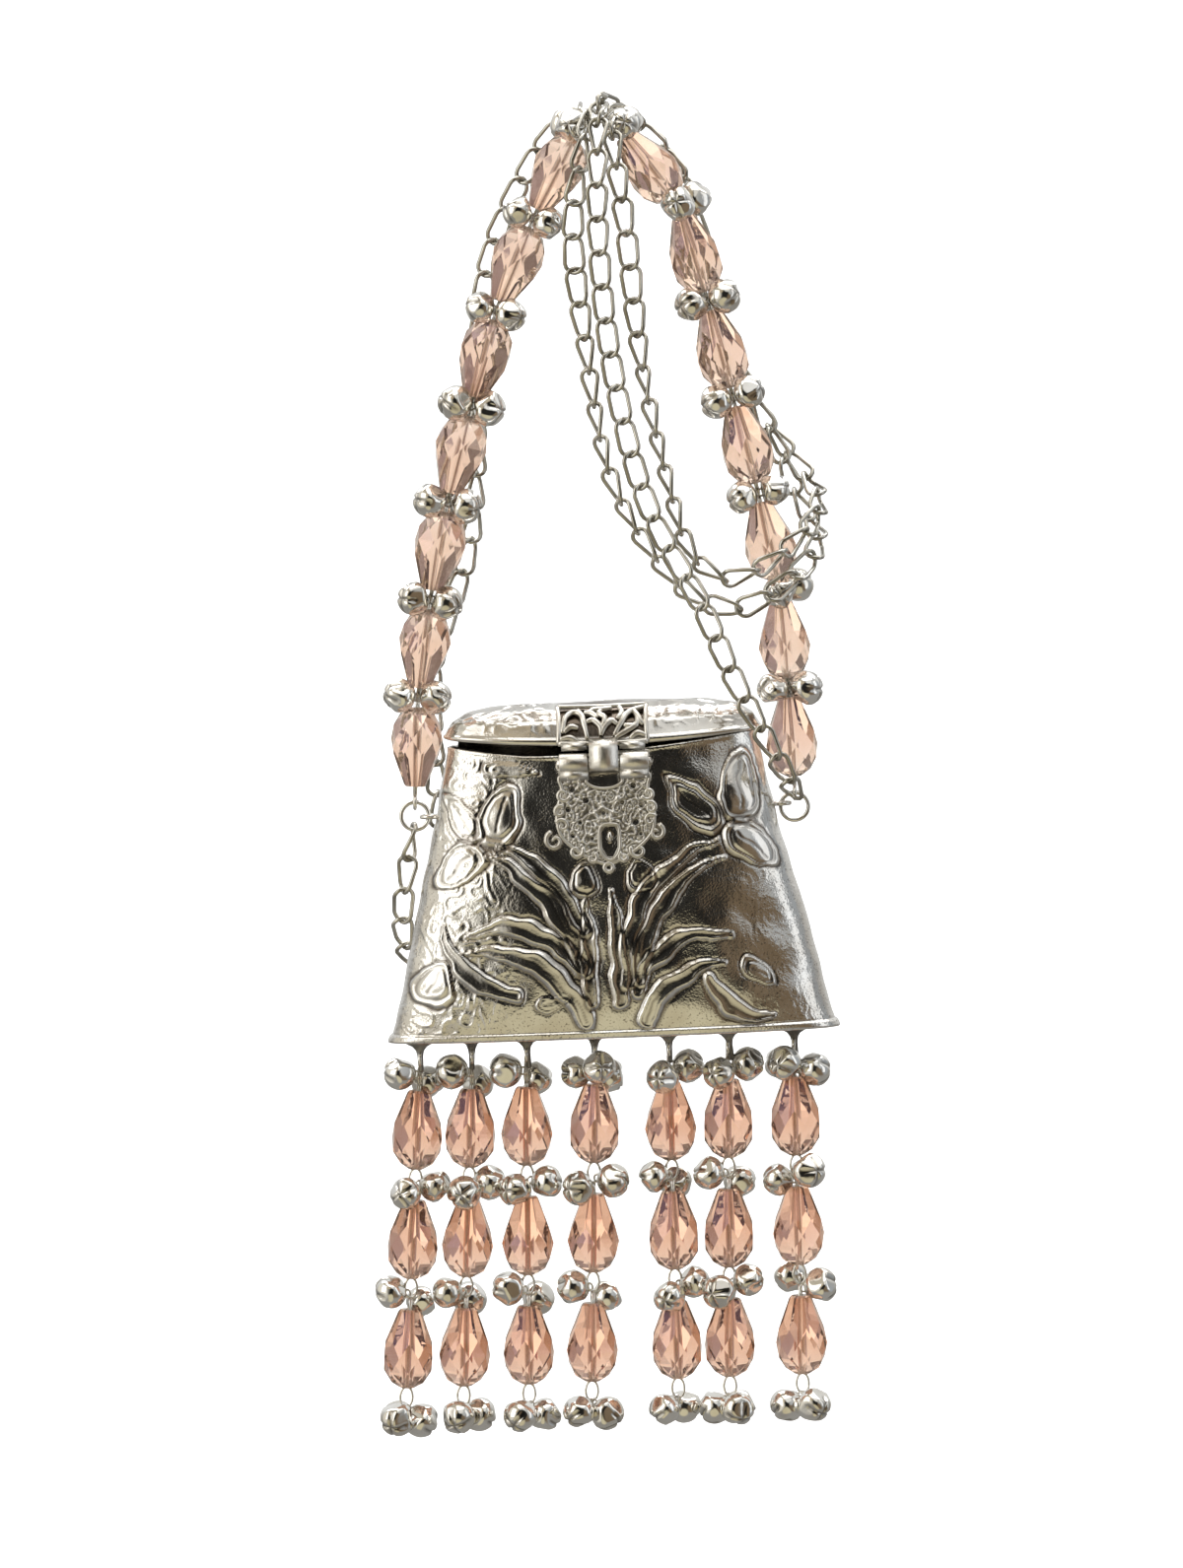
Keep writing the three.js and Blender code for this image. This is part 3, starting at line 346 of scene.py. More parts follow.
# What surrounds the object: direction seen from it, cosines where each patch starts and is full, and colour
METAL_TENT_GREY, METAL_TENT_RADIUS = (0.3, 0.29, 0.27), 2.2
METAL_TENT = (
    ((0.0, 0.6, 0.8), (0.1, 0.8), (0.8, 0.8, 0.79)),
    ((0.15, -1.0, 0.1), (0.55, 0.85), (0.02, 0.019, 0.017)),
    ((0.75, -0.65, -0.1), (0.8, 0.95), (0.19, 0.14, 0.09)),
    ((0.68, -0.6, 0.42), (0.92, 0.98), (0.5, 0.51, 0.51)),
    ((-0.9, -0.4, 0.15), (0.6, 0.85), (0.77, 0.73, 0.64)),
    ((-0.3, -0.25, 0.92), (0.82, 0.96), (0.5, 0.45, 0.36)),
    ((0.25, -0.65, 0.72), (0.92, 0.975), (0.85, 0.84, 0.81)),
    ((-0.05, -0.8, -0.6), (0.84, 0.95), (0.6, 0.54, 0.37)),
    ((-0.35, -0.75, 0.56), (0.96, 0.985), (0.5, 0.42, 0.3)),
    ((1.0, -0.2, 0.1), (0.8, 0.95), (0.36, 0.38, 0.4)),
)
GLASS_TENT_GREY, GLASS_TENT_RADIUS = (1.0, 0.98, 0.96), 0.6
GLASS_TENT = (
    ((0.0, -1.0, 0.0), (0.3, 0.7), (0.36, 0.31, 0.29)),
    ((0.62, 0.7, -0.3), (0.9, 0.95), (0.4, 0.37, 0.42)),
    ((-0.5, 0.72, 0.5), (0.93, 0.96), (0.2, 0.18, 0.18)),
    ((0.45, 0.7, 0.55), (0.94, 0.97), (0.3, 0.27, 0.3)),
    ((-0.75, 0.5, -0.4), (0.88, 0.94), (0.5, 0.36, 0.28)),
    ((0.0, 0.55, -0.85), (0.9, 0.95), (0.55, 0.44, 0.38)),
    ((-0.2, 0.8, -0.6), (0.97, 0.985), (1.6, 1.5, 1.45)),
    ((0.15, 0.6, 0.8), (0.93, 0.97), (1.5, 1.45, 1.4)),
)
X_AXIS, Y_AXIS, Z_AXIS = np.eye(3)
# Directions that the frames of wires and of turned forms start from
WIRE_SKEW, FORM_SKEW = (0.31, 0.87, 0.38), (0.23, 0.51, 0.83)


# Small sums

def ramp(value, start, reach):
    """0 up to the start, 1 beyond the reach, and even between."""
    return np.clip((value - start) / reach, 0, 1)


def ridge(value, centre, width):
    """A smooth hump of height 1 about a centre."""
    return np.exp(-((value - centre) / width) ** 2)


def unit(vector):
    vector = np.asarray(vector, float)
    return vector / np.linalg.norm(vector)


def full_turn(count):
    return np.linspace(0, 2 * np.pi, count, endpoint=False)


def distances(points, power=1.0):
    """How far along a line each of its points lies, with each step raised to a power."""
    steps = np.linalg.norm(np.diff(points, axis=0), axis=1)
    return np.concatenate([[0], np.cumsum(steps ** power)])


def resampled(places, known, table):
    """The columns of a table at other places."""
    return np.column_stack([np.interp(places, known, column) for column in np.transpose(table)])


def bag_to_world(points):
    points = np.asarray(points, float)
    c, s = math.cos(BAG_LEAN), math.sin(BAG_LEAN)
    x = BAG_X + points[..., 0] * c + points[..., 2] * s
    z = BAG_Z - points[..., 0] * s + points[..., 2] * c
    return np.stack([x, points[..., 1], z], axis=-1)


def between(t, start, end, first, last):
    return first + (last - first) * (t - start) / (end - start)


def spline(points, steps, closed=False, power=0.0):
    """A smooth line through points; a power of 0.5 keeps it even where their spacing varies."""
    points = np.asarray(points, float)
    if closed:
        padded = np.concatenate([points[-1:], points, points[:2]])
    else:
        padded = np.concatenate([[2 * points[0] - points[1]], points, [2 * points[-1] - points[-2]]])
    line = []
    for four in zip(padded[:-3], padded[1:-2], padded[2:-1], padded[3:]):
        knots = distances(four, power)
        for t in np.linspace(knots[1], knots[2], steps, endpoint=False):
            once = [between(t, knots[k], knots[k + 1], four[k], four[k + 1]) for k in range(3)]
            twice = [between(t, knots[k], knots[k + 2], once[k], once[k + 1]) for k in range(2)]
            line.append(between(t, knots[1], knots[2], *twice))
    return np.array(line if closed else line + [points[-1]])


def waves(x, z, scale, count=7, seed=1):
    """Smooth unevenness between about -1 and 1, from crossing waves."""
    draw = np.random.default_rng(seed)
    total = np.zeros_like(x, dtype=float)
    for _ in range(count):
        angle, phase = draw.uniform(0, 2 * np.pi, 2)
        pitch = scale * draw.uniform(0.6, 1.6)
        total += np.sin((x * np.cos(angle) + z * np.sin(angle)) * 2 * np.pi / pitch + phase)
    return total / math.sqrt(count)


def layers(x, z, rows):
    return sum(height * waves(x, z, pitch, seed=seed) for height, pitch, seed in rows)


def curls(x, z, pitch, seed):
    """Winding ridges between 0 and 1, like small scrolls pressed into sheet metal."""
    return ridge(np.sin(2.3 * waves(x, z, pitch, 10, seed)), 0, 0.42)


def nearest(places, x, z):
    """Distance from each point to the nearest of some flat places, and that place's number."""
    distance, number = np.full(x.shape, np.inf), np.zeros(x.shape, int)
    for i, (place_x, place_z) in enumerate(places):
        here = np.hypot(x - place_x, z - place_z)
        number = np.where(here < distance, i, number)
        distance = np.minimum(distance, here)
    return distance, number


# Gathering of points and faces

def linked(name, data):
    """A new object in the scene."""
    thing = bpy.data.objects.new(name, data)
    bpy.context.collection.objects.link(thing)
    return thing


def mesh_object(name, points, faces, material, smooth):
    mesh = bpy.data.meshes.new(name)
    mesh.from_pydata(np.asarray(points).tolist(), [], faces)
    mesh.polygons.foreach_set("use_smooth", [smooth] * len(faces))
    mesh.materials.append(material)
    mesh.update()
    return linked(name, mesh)


def point_layer(piece, name, values):
    """Stores a value from 0 to 1 at each point, for the material."""
    layer = piece.data.attributes.new(name, "FLOAT", "POINT")
    layer.data.foreach_set("value", np.clip(values, 0, 1).astype(np.float32))


class Shape:
    """Points in millimetres and faces, gathered from many small forms into one mesh."""

    def __init__(self):
        self.points = []
        self.faces = []
        self.tarnish_and_shade = []
        self.count = 0

    def add(self, form, tarnish_and_shade=0.0):
        """Adds a form; a value from 0 to 1 says how dark its points are: tarnish in the relief's hollows,
        painted shade in gaps, hollows and slits.
        """
        points, faces = form
        points = np.asarray(points, float).reshape(-1, 3)
        self.points.append(points)
        self.tarnish_and_shade.append(np.broadcast_to(tarnish_and_shade, len(points)))
        self.faces.extend(tuple(corner + self.count for corner in face) for face in faces)
        self.count += len(points)
        return self

    def build(self, name, material, body, slot, *nodes, in_bag=False, smooth=True):
        """The piece in the scene: it rides on a body and may replace nodes of the part; the slot is not used.
        """
        points = np.concatenate(self.points)
        if in_bag:
            points = bag_to_world(points)
        piece = mesh_object(name, points * MM, self.faces, material, smooth)
        point_layer(piece, "tarnish_and_shade", np.concatenate(self.tarnish_and_shade))
        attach(piece, body)
        if nodes:
            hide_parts(*nodes)
        return piece


def grid_faces(rows, columns):
    """Quads of a grid of points, row by row, with the last column joined to the first."""
    faces = []
    for row in range(rows - 1):
        for column in range(columns):
            following = (column + 1) % columns
            faces.append((row * columns + column, row * columns + following,
                          (row + 1) * columns + following, (row + 1) * columns + column))
    return faces


def lofted(rings, capped=True):
    """A form through rings of equal count, with flat caps."""
    rings = np.asarray(rings, float)
    rows, columns = rings.shape[:2]
    faces = grid_faces(rows, columns)
    if capped:
        faces.append(tuple(reversed(range(columns))))
        faces.append(tuple((rows - 1) * columns + column for column in range(columns)))
    return rings.reshape(-1, 3), faces


def best_offset(ring, other):
    """The turn of one ring of points that lines it up with another."""
    apart = [np.linalg.norm(ring - np.roll(other, -turn, axis=0)) for turn in range(len(ring))]
    return int(np.argmin(apart))


def tube(path, radius, sides=8, closed=False):
    """A round wire along a path, with frames carried along it without twist."""
    path = np.asarray(path, float)
    if closed:
        runs = np.roll(path, -1, axis=0) - np.roll(path, 1, axis=0)
    else:
        runs = np.gradient(path, axis=0)
    runs /= np.linalg.norm(runs, axis=1)[:, None]
    across = np.cross(runs[0], WIRE_SKEW)
    angles = full_turn(sides)
    rings = []
    for point, run, size in zip(path, runs, np.broadcast_to(radius, len(path))):
        across = unit(across - run * across.dot(run))
        up = np.cross(run, across)
        rings.append(point + size * (np.outer(np.cos(angles), across) + np.outer(np.sin(angles), up)))
    points, faces = lofted(rings, not closed)
    if closed:
        offset = best_offset(rings[-1], rings[0])
        last = (len(path) - 1) * sides
        for side in range(sides):
            following = (side + 1) % sides
            faces.append((last + side, last + following,
                          (following + offset) % sides, (side + offset) % sides))
    return points, faces


def lathe(profile, sides):
    """A profile of (radius, height) turned about Z; a profile that closes on itself makes a ring."""
    angles = full_turn(sides)
    rings = [np.column_stack([r * np.cos(angles), r * np.sin(angles), np.full(sides, z)]) for r, z in profile]
    return lofted(rings, not np.allclose(profile[0], profile[-1]))


def along_x(form, hinge):
    """A form made about Z, laid along X through a hinge."""
    points, faces = form
    return np.column_stack([points[:, 2], points[:, 0] + hinge["y"], points[:, 1] + hinge["z"]]), faces


def circle(centre, radius, first, second, count=32):
    angles = full_turn(count)
    return np.asarray(centre) + radius * (np.outer(np.cos(angles), first) + np.outer(np.sin(angles), second))


def barrel(hinge, start, end):
    """A hinge barrel with a bore and softened ends."""
    radius, bore, soft = hinge["radius"], hinge["bore"], BARREL_SOFT
    profile = [(bore, start), (radius - soft, start), (radius, start + soft), (radius, end - soft),
               (radius - soft, end), (bore, end), (bore, start)]
    return along_x(lathe(profile, BARREL_SIDES), hinge)


def both_sides(inner, outer):
    """Start and end of a stretch along X, at the left and at the right."""
    return (-outer, -inner), (inner, outer)


def box_form(low, high):
    points = [(x, y, z) for x in (low[0], high[0]) for y in (low[1], high[1]) for z in (low[2], high[2])]
    faces = [(0, 1, 3, 2), (4, 6, 7, 5), (0, 4, 5, 1), (2, 3, 7, 6), (0, 2, 6, 4), (1, 5, 7, 3)]
    return points, faces


def toward(form, origin, axis, spin=0.0, scale=1.0):
    """A form about Z turned to point along an axis from an origin."""
    points, faces = form
    axis = unit(axis)
    side = unit(np.cross(axis, FORM_SKEW))
    other = np.cross(axis, side)
    c, s = math.cos(spin), math.sin(spin)
    turned = np.array((c * side + s * other, c * other - s * side, axis))
    return np.asarray(origin) + scale * points @ turned, faces


# Materials

class Tree:
    """The nodes of a material or world, with short ways to add and join them."""

    def __init__(self, owner):
        owner.use_nodes = True
        self.owner = owner
        self.nodes, self.links = owner.node_tree.nodes, owner.node_tree.links

    def fill(self, node, inputs):
        """Gives inputs their plain values, or joins other nodes' outputs to them."""
        for key, value in inputs.items():
            socket = node.inputs[key]
            if isinstance(value, bpy.types.NodeSocket):
                self.links.new(value, socket)
            else:
                socket.default_value = (*value, 1) if socket.type == "RGBA" else value
        return node

    def add(self, kind, inputs, output, **settings):
        """Adds a node and returns one of its outputs."""
        node = self.nodes.new("ShaderNode" + kind)
        for key, value in settings.items():
            setattr(node, key, value)
        return self.fill(node, inputs).outputs[output]

    def layer(self, name):
        return self.add("Attribute", {}, "Fac", attribute_name=name)

    def noise(self, scale, detail):
        place = self.add("TexCoord", {}, "Object")
        return self.add("TexNoise", {"Vector": place, "Scale": scale, "Detail": detail}, "Fac")

    def stops(self, factor, *stops):
        """Colours between stops, each a place from 0 to 1 and a colour."""
        node = self.nodes.new("ShaderNodeValToRGB")
        for element, (place, colour) in zip(node.color_ramp.elements, stops):
            element.position = place
            element.color = (*colour, 1)
        return self.fill(node, {"Fac": factor}).outputs["Color"]

    def combine(self, operation, first, second):
        return self.add("Math", {0: first, 1: second}, "Value", operation=operation)

    def mix(self, factor, first, second):
        return self.add("Mix", {"Factor": factor, "A": first, "B": second}, "Result", data_type="RGBA")

    def surface(self, inputs):
        """Fills the main shader and returns the material."""
        self.fill(self.nodes["Principled BSDF"], inputs)
        return self.owner


def metal(name, bright, dull, tarnish_and_shade_tone, rough, grain_scale, grain):
    """Polished metal with stains, tarnish in the recesses of the relief and painted shade in gaps, hollows
    and slits, and a fine uneven grain.
    """
    tree = Tree(bpy.data.materials.new(name))
    shade = tree.stops(tree.noise(140, 5), (0.38, dull), (0.62, bright))
    ground = tree.layer("ground")
    stipple = tree.noise(2600, 1)
    pits = tree.stops(stipple, (0.6, (0, 0, 0)), (0.74, (0.7, 0.7, 0.7)))
    # Darkness from tarnish in the relief's hollows, painted shade in gaps, hollows and slits, and pits in the
    # ground
    depth = tree.combine("MAXIMUM", tree.layer("tarnish_and_shade"), tree.combine("MULTIPLY", ground, pits))
    patchy = {"Value": tree.noise(420, 3), "To Min": rough[0], "To Max": rough[1]}
    pricks = {"Height": tree.combine("MULTIPLY", ground, stipple), "Strength": 0.2, "Distance": 0.00025}
    grains = {"Height": tree.noise(grain_scale, 2), "Strength": grain, "Distance": 0.0002,
              "Normal": tree.add("Bump", pricks, "Normal")}
    return tree.surface({
        "Metallic": 1.0,
        "Base Color": tree.mix(depth, shade, tarnish_and_shade_tone),
        "Roughness": tree.add("MapRange", patchy, "Result"),
        "Normal": tree.add("Bump", grains, "Normal"),
    })


def glass(name, deep, light, pale, rough):
    """Clear cut glass with a faint iridescent film, streaked between two tints and paler at its ends."""
    tree = Tree(bpy.data.materials.new(name))
    tint = tree.stops(tree.noise(90, 2), (0.3, deep), (0.7, light))
    return tree.surface({
        "Transmission Weight": 0.95,
        "IOR": 1.56,
        "Roughness": rough,
        "Thin Film Thickness": 290.0,
        "Thin Film IOR": 1.45,
        "Base Color": tree.mix(tree.layer("pale"), tint, pale),
    })


silver, bell_silver, clasp_silver, nickel, solder = (metal(*row) for row in METALS)
crystal, light_crystal, bore_glass = (glass(*row) for row in GLASSES)


# Purse body

def body_half_width(z):
    return BOTTOM_HALF_WIDTH + (TOP_HALF_WIDTH - BOTTOM_HALF_WIDTH) * z / BODY_HEIGHT


def body_half_depth(z):
    share = z / BODY_HEIGHT
    swell = BELLY * np.sin(np.pi * share) - BOTTOM_CURL * (1 - ramp(z, 0, CURL_REACH)) ** 2
    return BOTTOM_HALF_DEPTH + (TOP_HALF_DEPTH - BOTTOM_HALF_DEPTH) * share + swell


def rim_height(x):
    """Height of the lid's rim, which rises towards its ends."""
    return LID_SECTIONS[0][2] + LID_RISE * (x / LID_SECTIONS[0][0]) ** 2


def oval(angles, half_width, half_depth):
    power = 2 / SQUARENESS
    x = half_width * np.sign(np.cos(angles)) * np.abs(np.cos(angles)) ** power
    y = half_depth * np.sign(np.sin(angles)) * np.abs(np.sin(angles)) ** power
    return x, y


def oval_angles(front, back):
    """Angles round the plan that give even steps, finer along the front; they start at the right end."""
    angles = np.linspace(0, np.pi, PLAN_STEPS)
    run = distances(np.column_stack(oval(angles, *PLAN_SAMPLE)))
    behind, before = (np.interp(np.linspace(0, run[-1], count, endpoint=False), run, angles)
                      for count in (back, front))
    return np.concatenate([behind, before + np.pi])


def oval_normal(x, y, half_width, half_depth):
    nx = np.sign(x) * np.abs(x / half_width) ** (SQUARENESS - 1) / half_width
    ny = np.sign(y) * np.abs(y / half_depth) ** (SQUARENESS - 1) / half_depth
    length = np.hypot(nx, ny)
    return nx / length, ny / length


def oval_front(x, half_width, half_depth):
    """The front of the oval plan at a place across it."""
    across = np.minimum(1, np.abs(x) / half_width)
    return -half_depth * (1 - across ** SQUARENESS) ** (1 / SQUARENESS)


def blade_relief(x, z, base, mid, tip, width):
    """Height and groove of one leaf blade over the front."""
    base, mid, tip = (np.array(p) for p in (base, mid, tip))
    control = 2 * mid - (base + tip) / 2
    t = np.linspace(0, 1, 60)
    s = t[:, None]
    distance, number = nearest((1 - s) ** 2 * base + 2 * s * (1 - s) * control + s ** 2 * tip, x, z)
    place = t[number]
    half = 0.7 * width * np.clip(1.1 - 0.8 * np.abs(place - 0.4) ** 1.5 - 0.5 * place ** 4, 0.25, 1.2)
    u = distance / half
    dome = (0.5 + 0.5 * np.cos(np.pi * np.minimum(u, 1))) ** 0.6
    height = BLADE_HEIGHT * (0.55 * dome + 0.5 * ridge(u, *SHOULDER)) * (1 - ramp(u, *BLADE_EDGE))
    return height, 0.8 * ridge(u, *BLADE_GROOVE) + 0.7 * ridge(distance, *MIDRIB)


def petal_relief(x, z, centre, length, width, turn, fullness):
    """Height and groove of one petal: a dome of some fullness inside two nested outlines, with a vein."""
    c, s = math.cos(math.radians(turn)), math.sin(math.radians(turn))
    dx, dz = x - centre[0], z - centre[1]
    u = (dx * c + dz * s) / (length / 2)
    v = (-dx * s + dz * c) / (width / 2)
    r = np.sqrt(u ** 2 + (v / np.clip(1 - 0.35 * u, 0.5, 1.4)) ** 2)
    dome = np.clip(1 - r ** 2, 0, 1) ** 0.8
    outlines = 0.36 * ridge(r, *OUTER_LINE) + 0.24 * (1 - fullness) * ridge(r, *INNER_LINE)
    height = PETAL_HEIGHT * (fullness * dome + outlines) * (1 - ramp(r, *PETAL_EDGE))
    vein = 0.5 * ridge(v, *VEIN) * (np.abs(u) < 0.6)
    return height, 0.9 * ridge(r, *OUTER_GROOVE) + 0.5 * ridge(r, *INNER_GROOVE) + vein


def front_relief(x, z):
    """Height of the whole relief over the front, and how deep each point lies in its grooves."""
    shifted = x + layers(x, z, SHIFT_X), z + layers(x, z, SHIFT_Z)
    height, groove = np.zeros(x.shape), np.zeros(x.shape)
    for relief, table in ((blade_relief, BLADES), (petal_relief, PETALS)):
        for row in table:
            high, deep = relief(*shifted, *row)
            height, groove = np.maximum(height, high), np.maximum(groove, deep)
    groove = np.where(height > 0.7, np.minimum(groove, 0.45), groove)
    sides = ramp(-x, *SCROLLS_LEFT) + 0.3 * ramp(x, *SCROLLS_RIGHT)
    scrolls = curls(x, z, *SCROLLS) * sides * (1 - ramp(height, 0, 0.3))
    return height - GROOVE_DEPTH * groove + SCROLL_HEIGHT * scrolls, np.clip(groove, 0, 1)


def staple_wire():
    """The staple on the front that stands in the hasp's slot."""
    middle = (STAPLE["low"] + STAPLE["high"]) / 2
    half = (STAPLE["high"] - STAPLE["low"]) / 2 - STAPLE["trim"]
    root = oval_front(SLOT["x"], body_half_width(middle), body_half_depth(middle)) + STAPLE["root"]
    arch = np.linspace(0, np.pi, STAPLE["points"])
    reach = root - STAPLE["front"] - STAPLE["set_back"]
    path = np.column_stack([np.full(len(arch), SLOT["x"]), root - reach * np.sin(arch) ** 0.6,
                            middle + half * np.cos(arch)])
    return tube(path, STAPLE["wire"], 10)


def make_body():
    """Shell with the relief on its front, a banded bottom, a collar, eyes, knuckles and staple."""
    angles = oval_angles(FRONT_COLUMNS, BACK_COLUMNS)
    top_x, _ = oval(angles, TOP_HALF_WIDTH, TOP_HALF_DEPTH)
    top = rim_height(top_x) - np.interp(top_x, *zip(*EDGE_GAP))
    share = np.concatenate([np.linspace(0, BAND_SHARE, BAND_ROWS, endpoint=False),
                            np.linspace(BAND_SHARE, 1, BODY_ROWS - BAND_ROWS)])
    z = share[:, None] * top[None, :]
    width, depth = body_half_width(z), body_half_depth(z)
    x, y = oval(angles[None, :], width, depth)
    nx, ny = oval_normal(x, y, width, depth)
    height, groove = front_relief(x, z)
    shown = ramp(-ny, *FACING) * ramp(top - z, *BELOW_EDGE) * ramp(z, *OVER_BAND)
    raised = height * shown + layers(x, z, DENTS) * ramp(z, *DENTED)
    shield = hasp_outline()
    apart = np.where(inside(shield, x, z), 0, nearest(shield, x, z)[0])
    room = HASP_ROOM - np.abs(y) + np.clip(apart - ROOM_START, 0, ROOM_REACH) * ROOM_SLOPE
    raised = np.where(y < 0, np.minimum(raised, room), raised)
    band = (1 - ramp(z, *BAND_TOP)) * ramp(z, *BAND_FOOT)
    flare = ramp(np.abs(x) / width, *FLARE_CORNER) * (1 - ramp(z, *FLARE_HEIGHT)) ** 2
    lift = raised + BAND_PROUD * band + CORNER_FLARE * flare
    lift += BEAD_HEIGHT * ridge(top - z, *BEAD) - SEAM_DEPTH * ridge(z, *SEAM)
    rings = list(np.stack([x + nx * lift, y + ny * lift, z], axis=-1))
    tarnish_and_shade = [(groove * shown).ravel()]
    # Painted shade on the collar, deepest where the gap stands open left of the clasp
    gaping = np.clip(GAPE_MIDDLE - top_x / GAPE_WIDTH, GAPE_LEAST, 1)
    dark = COLLAR_PAINTED_SHADE * gaping
    inner = [(inset * COLLAR_SPREAD * gaping, top + rise, dark) for inset, rise in COLLAR]
    inner += [(inset, top + rise, dark) for inset, rise in COLLAR_TOP]
    # Painted shade on the inside wall below the collar
    inner += [(INSIDE_INSET, top * level, INSIDE_PAINTED_SHADE) for level in INSIDE_LEVELS]
    for inset, level, dark in inner:
        ix, iy = oval(angles, body_half_width(level) - inset, body_half_depth(level) - inset)
        rings.append(np.column_stack([ix, iy, level]))
        tarnish_and_shade.append(np.broadcast_to(dark, len(angles)))
    shape = Shape().add(lofted(rings), np.concatenate(tarnish_and_shade))
    web_top = LID_HINGE["z"] - LID_HINGE["bore"] - WEB_GAP
    spans = both_sides(LID_HINGE["inner"] + BARREL_GAP, LID_HINGE["outer"])
    for side, (start, end) in zip((-1, 1), spans):
        eye = (side * (body_half_width(EYE["z"]) + EYE["out"]), 0, EYE["z"])
        shape.add(tube(circle(eye, EYE["radius"], X_AXIS, Y_AXIS), EYE["wire"], 10, True))
        shape.add(barrel(LID_HINGE, start, end))
        shape.add(box_form((start, BODY_WEB_Y, web_top - BODY_WEB_HEIGHT), (end, LID_HINGE["y"], web_top)))
    shape.add(staple_wire())
    piece = shape.build("purse_shell", silver, "purse", "silver", "purse_body", in_bag=True)
    ground = 1 - ramp(height, 0, GROUND_BELOW).ravel()
    point_layer(piece, "ground", np.concatenate([ground, np.zeros(shape.count - len(ground))]))


def make_lugs():
    """Solder cones under the purse, each with a stout pin down to the first bells of its strand."""
    shape = Shape()
    for number, (x, *_) in enumerate(FRINGE):
        draw = np.random.default_rng(LUG_SEED + number)
        points, faces = lathe(LUG_PROFILE, LUG_SIDES)
        lobes = np.sin(2 * np.arctan2(points[:, 1], points[:, 0]) + draw.uniform(0, 6))
        swell = 1 + LOBES * ramp(points[:, 2], *LOBED) * lobes
        points = points * np.column_stack([swell, swell * LUG_FLATTENED, np.ones(len(points))])
        points[:, 0] += draw.uniform(-LUG_LEAN, LUG_LEAN) * points[:, 2]
        shape.add((points + (x, 0, 0), faces))
    shape.build("solder_pins", solder, "purse", "silver", in_bag=True)


# Lid

def lid_profile(count):
    """Smooth half width, half depth and height from the rim to the crown."""
    sections = np.array(LID_SECTIONS)
    steps = distances(sections[:, 1:])
    profile = resampled(np.linspace(0, steps[-1], count), steps, sections)
    kernel = np.array([1, 2, 3, 2, 1]) / 9
    for k in range(3):
        smooth = np.convolve(np.pad(profile[:, k], 2, mode="edge"), kernel, "valid")
        profile[3:-3, k] = smooth[3:-3]
    return profile


def lid_relief(x, y, z):
    """Low scrolling leaves over the lid's front, and the darkness of each point: darker ground between the
    leaves, and painted shade under the plate.
    """
    front = ramp(-y, *LID_FACING)
    leafy = ramp(np.abs(x), *BESIDE_PLATE) * ramp(z, *OVER_LIP) * front
    leaf = curls(x, z * 1.6 + y, *LID_LEAVES) * leafy
    under = ramp(PLATE_HALF_WIDTH - np.abs(x), 0, PLATE_FADE) * ramp(z, *UNDER_PLATE) * front
    return LEAF_HEIGHT * leaf, np.maximum(LEAF_DARK * (1 - leaf) * leafy, PLATE_SHADE * under)


def make_lid():
    """Hollow domed lid with a lip along its rim and the middle barrel of its hinge."""
    angles = oval_angles(LID_FRONT, LID_BACK)
    profile = lid_profile(LID_ROWS)
    rim, crown = profile[0, 2], profile[-1, 2]
    width, depth, z = (np.repeat(column[:, None], len(angles), axis=1) for column in profile.T)
    x, y = oval(angles[None, :], width, depth)
    nx, ny = oval_normal(x, y, width, depth)
    share = ramp(z, rim, crown - rim)
    relief, dark = lid_relief(x, y, z)
    dents = layers(x, y * 2 + z, LID_DENTS) * share
    lift = relief + LIP_HEIGHT * ridge(z - rim, *LIP) + dents
    lean = np.minimum(1.3 * share, 1)
    raised = z + LID_RISE * (x / width) ** 2 * (1 - share) ** 2
    sideways = lift * (1 - lean)
    outside = np.stack([x + nx * sideways, y + ny * sideways, raised + lift * lean], axis=-1)
    within = []
    for half_width, half_depth, height in profile[::-4]:
        ix, iy = oval(angles, max(half_width - LID_WALL, LEAST_WIDTH),
                      max(half_depth - LID_WALL, LEAST_DEPTH))
        low = 1 - ramp(height, rim, crown - rim)
        rise = LID_RISE * (ix / max(half_width, LEAST_WIDTH)) ** 2 * low ** 2
        within.append(np.column_stack([ix, iy, np.maximum(height - LID_WALL, rim) + rise]))
    # Painted shade inside the lid's hollow, then the darkness over its outside
    tarnish_and_shade = np.concatenate([np.full(len(within) * len(angles), LID_INSIDE_PAINTED_SHADE), dark.ravel()])
    shape = Shape().add(lofted(np.concatenate([np.array(within), outside])), tarnish_and_shade)
    half = LID_HINGE["inner"]
    shape.add(barrel(LID_HINGE, -half, half))
    foot = LID_HINGE["z"] + LID_HINGE["bore"] + WEB_GAP
    shape.add(box_form((-half, LID_WEB_Y, foot), (half, LID_HINGE["y"], foot + LID_WEB_HEIGHT)))
    shape.build("lid_dome", silver, "lid", "silver", "lid", in_bag=True)


def make_pin(name, hinge, body, node):
    end, r = hinge["outer"] + PIN_LONGER, hinge["pin"]
    half = [(r, end - PIN_SOFT), (r - PIN_SOFT, end), (PIN_TIP, end + PIN_DOME)]
    profile = [(radius, -place) for radius, place in reversed(half)] + half
    shape = Shape().add(along_x(lathe(profile, PIN_SIDES), hinge))
    shape.build(name, silver, body, "silver", node, in_bag=True)


# Clasp

def spiral(centre, radius, start, turns, sense, count=26):
    """A flat scroll that winds in to its centre, as (across, up) points."""
    share = np.linspace(0, 1, count)
    angle = math.radians(start) + sense * share * turns * 2 * np.pi
    size = radius * (1 - 0.85 * share)
    return np.column_stack([centre[0] + size * np.cos(angle), centre[1] + size * np.sin(angle)])


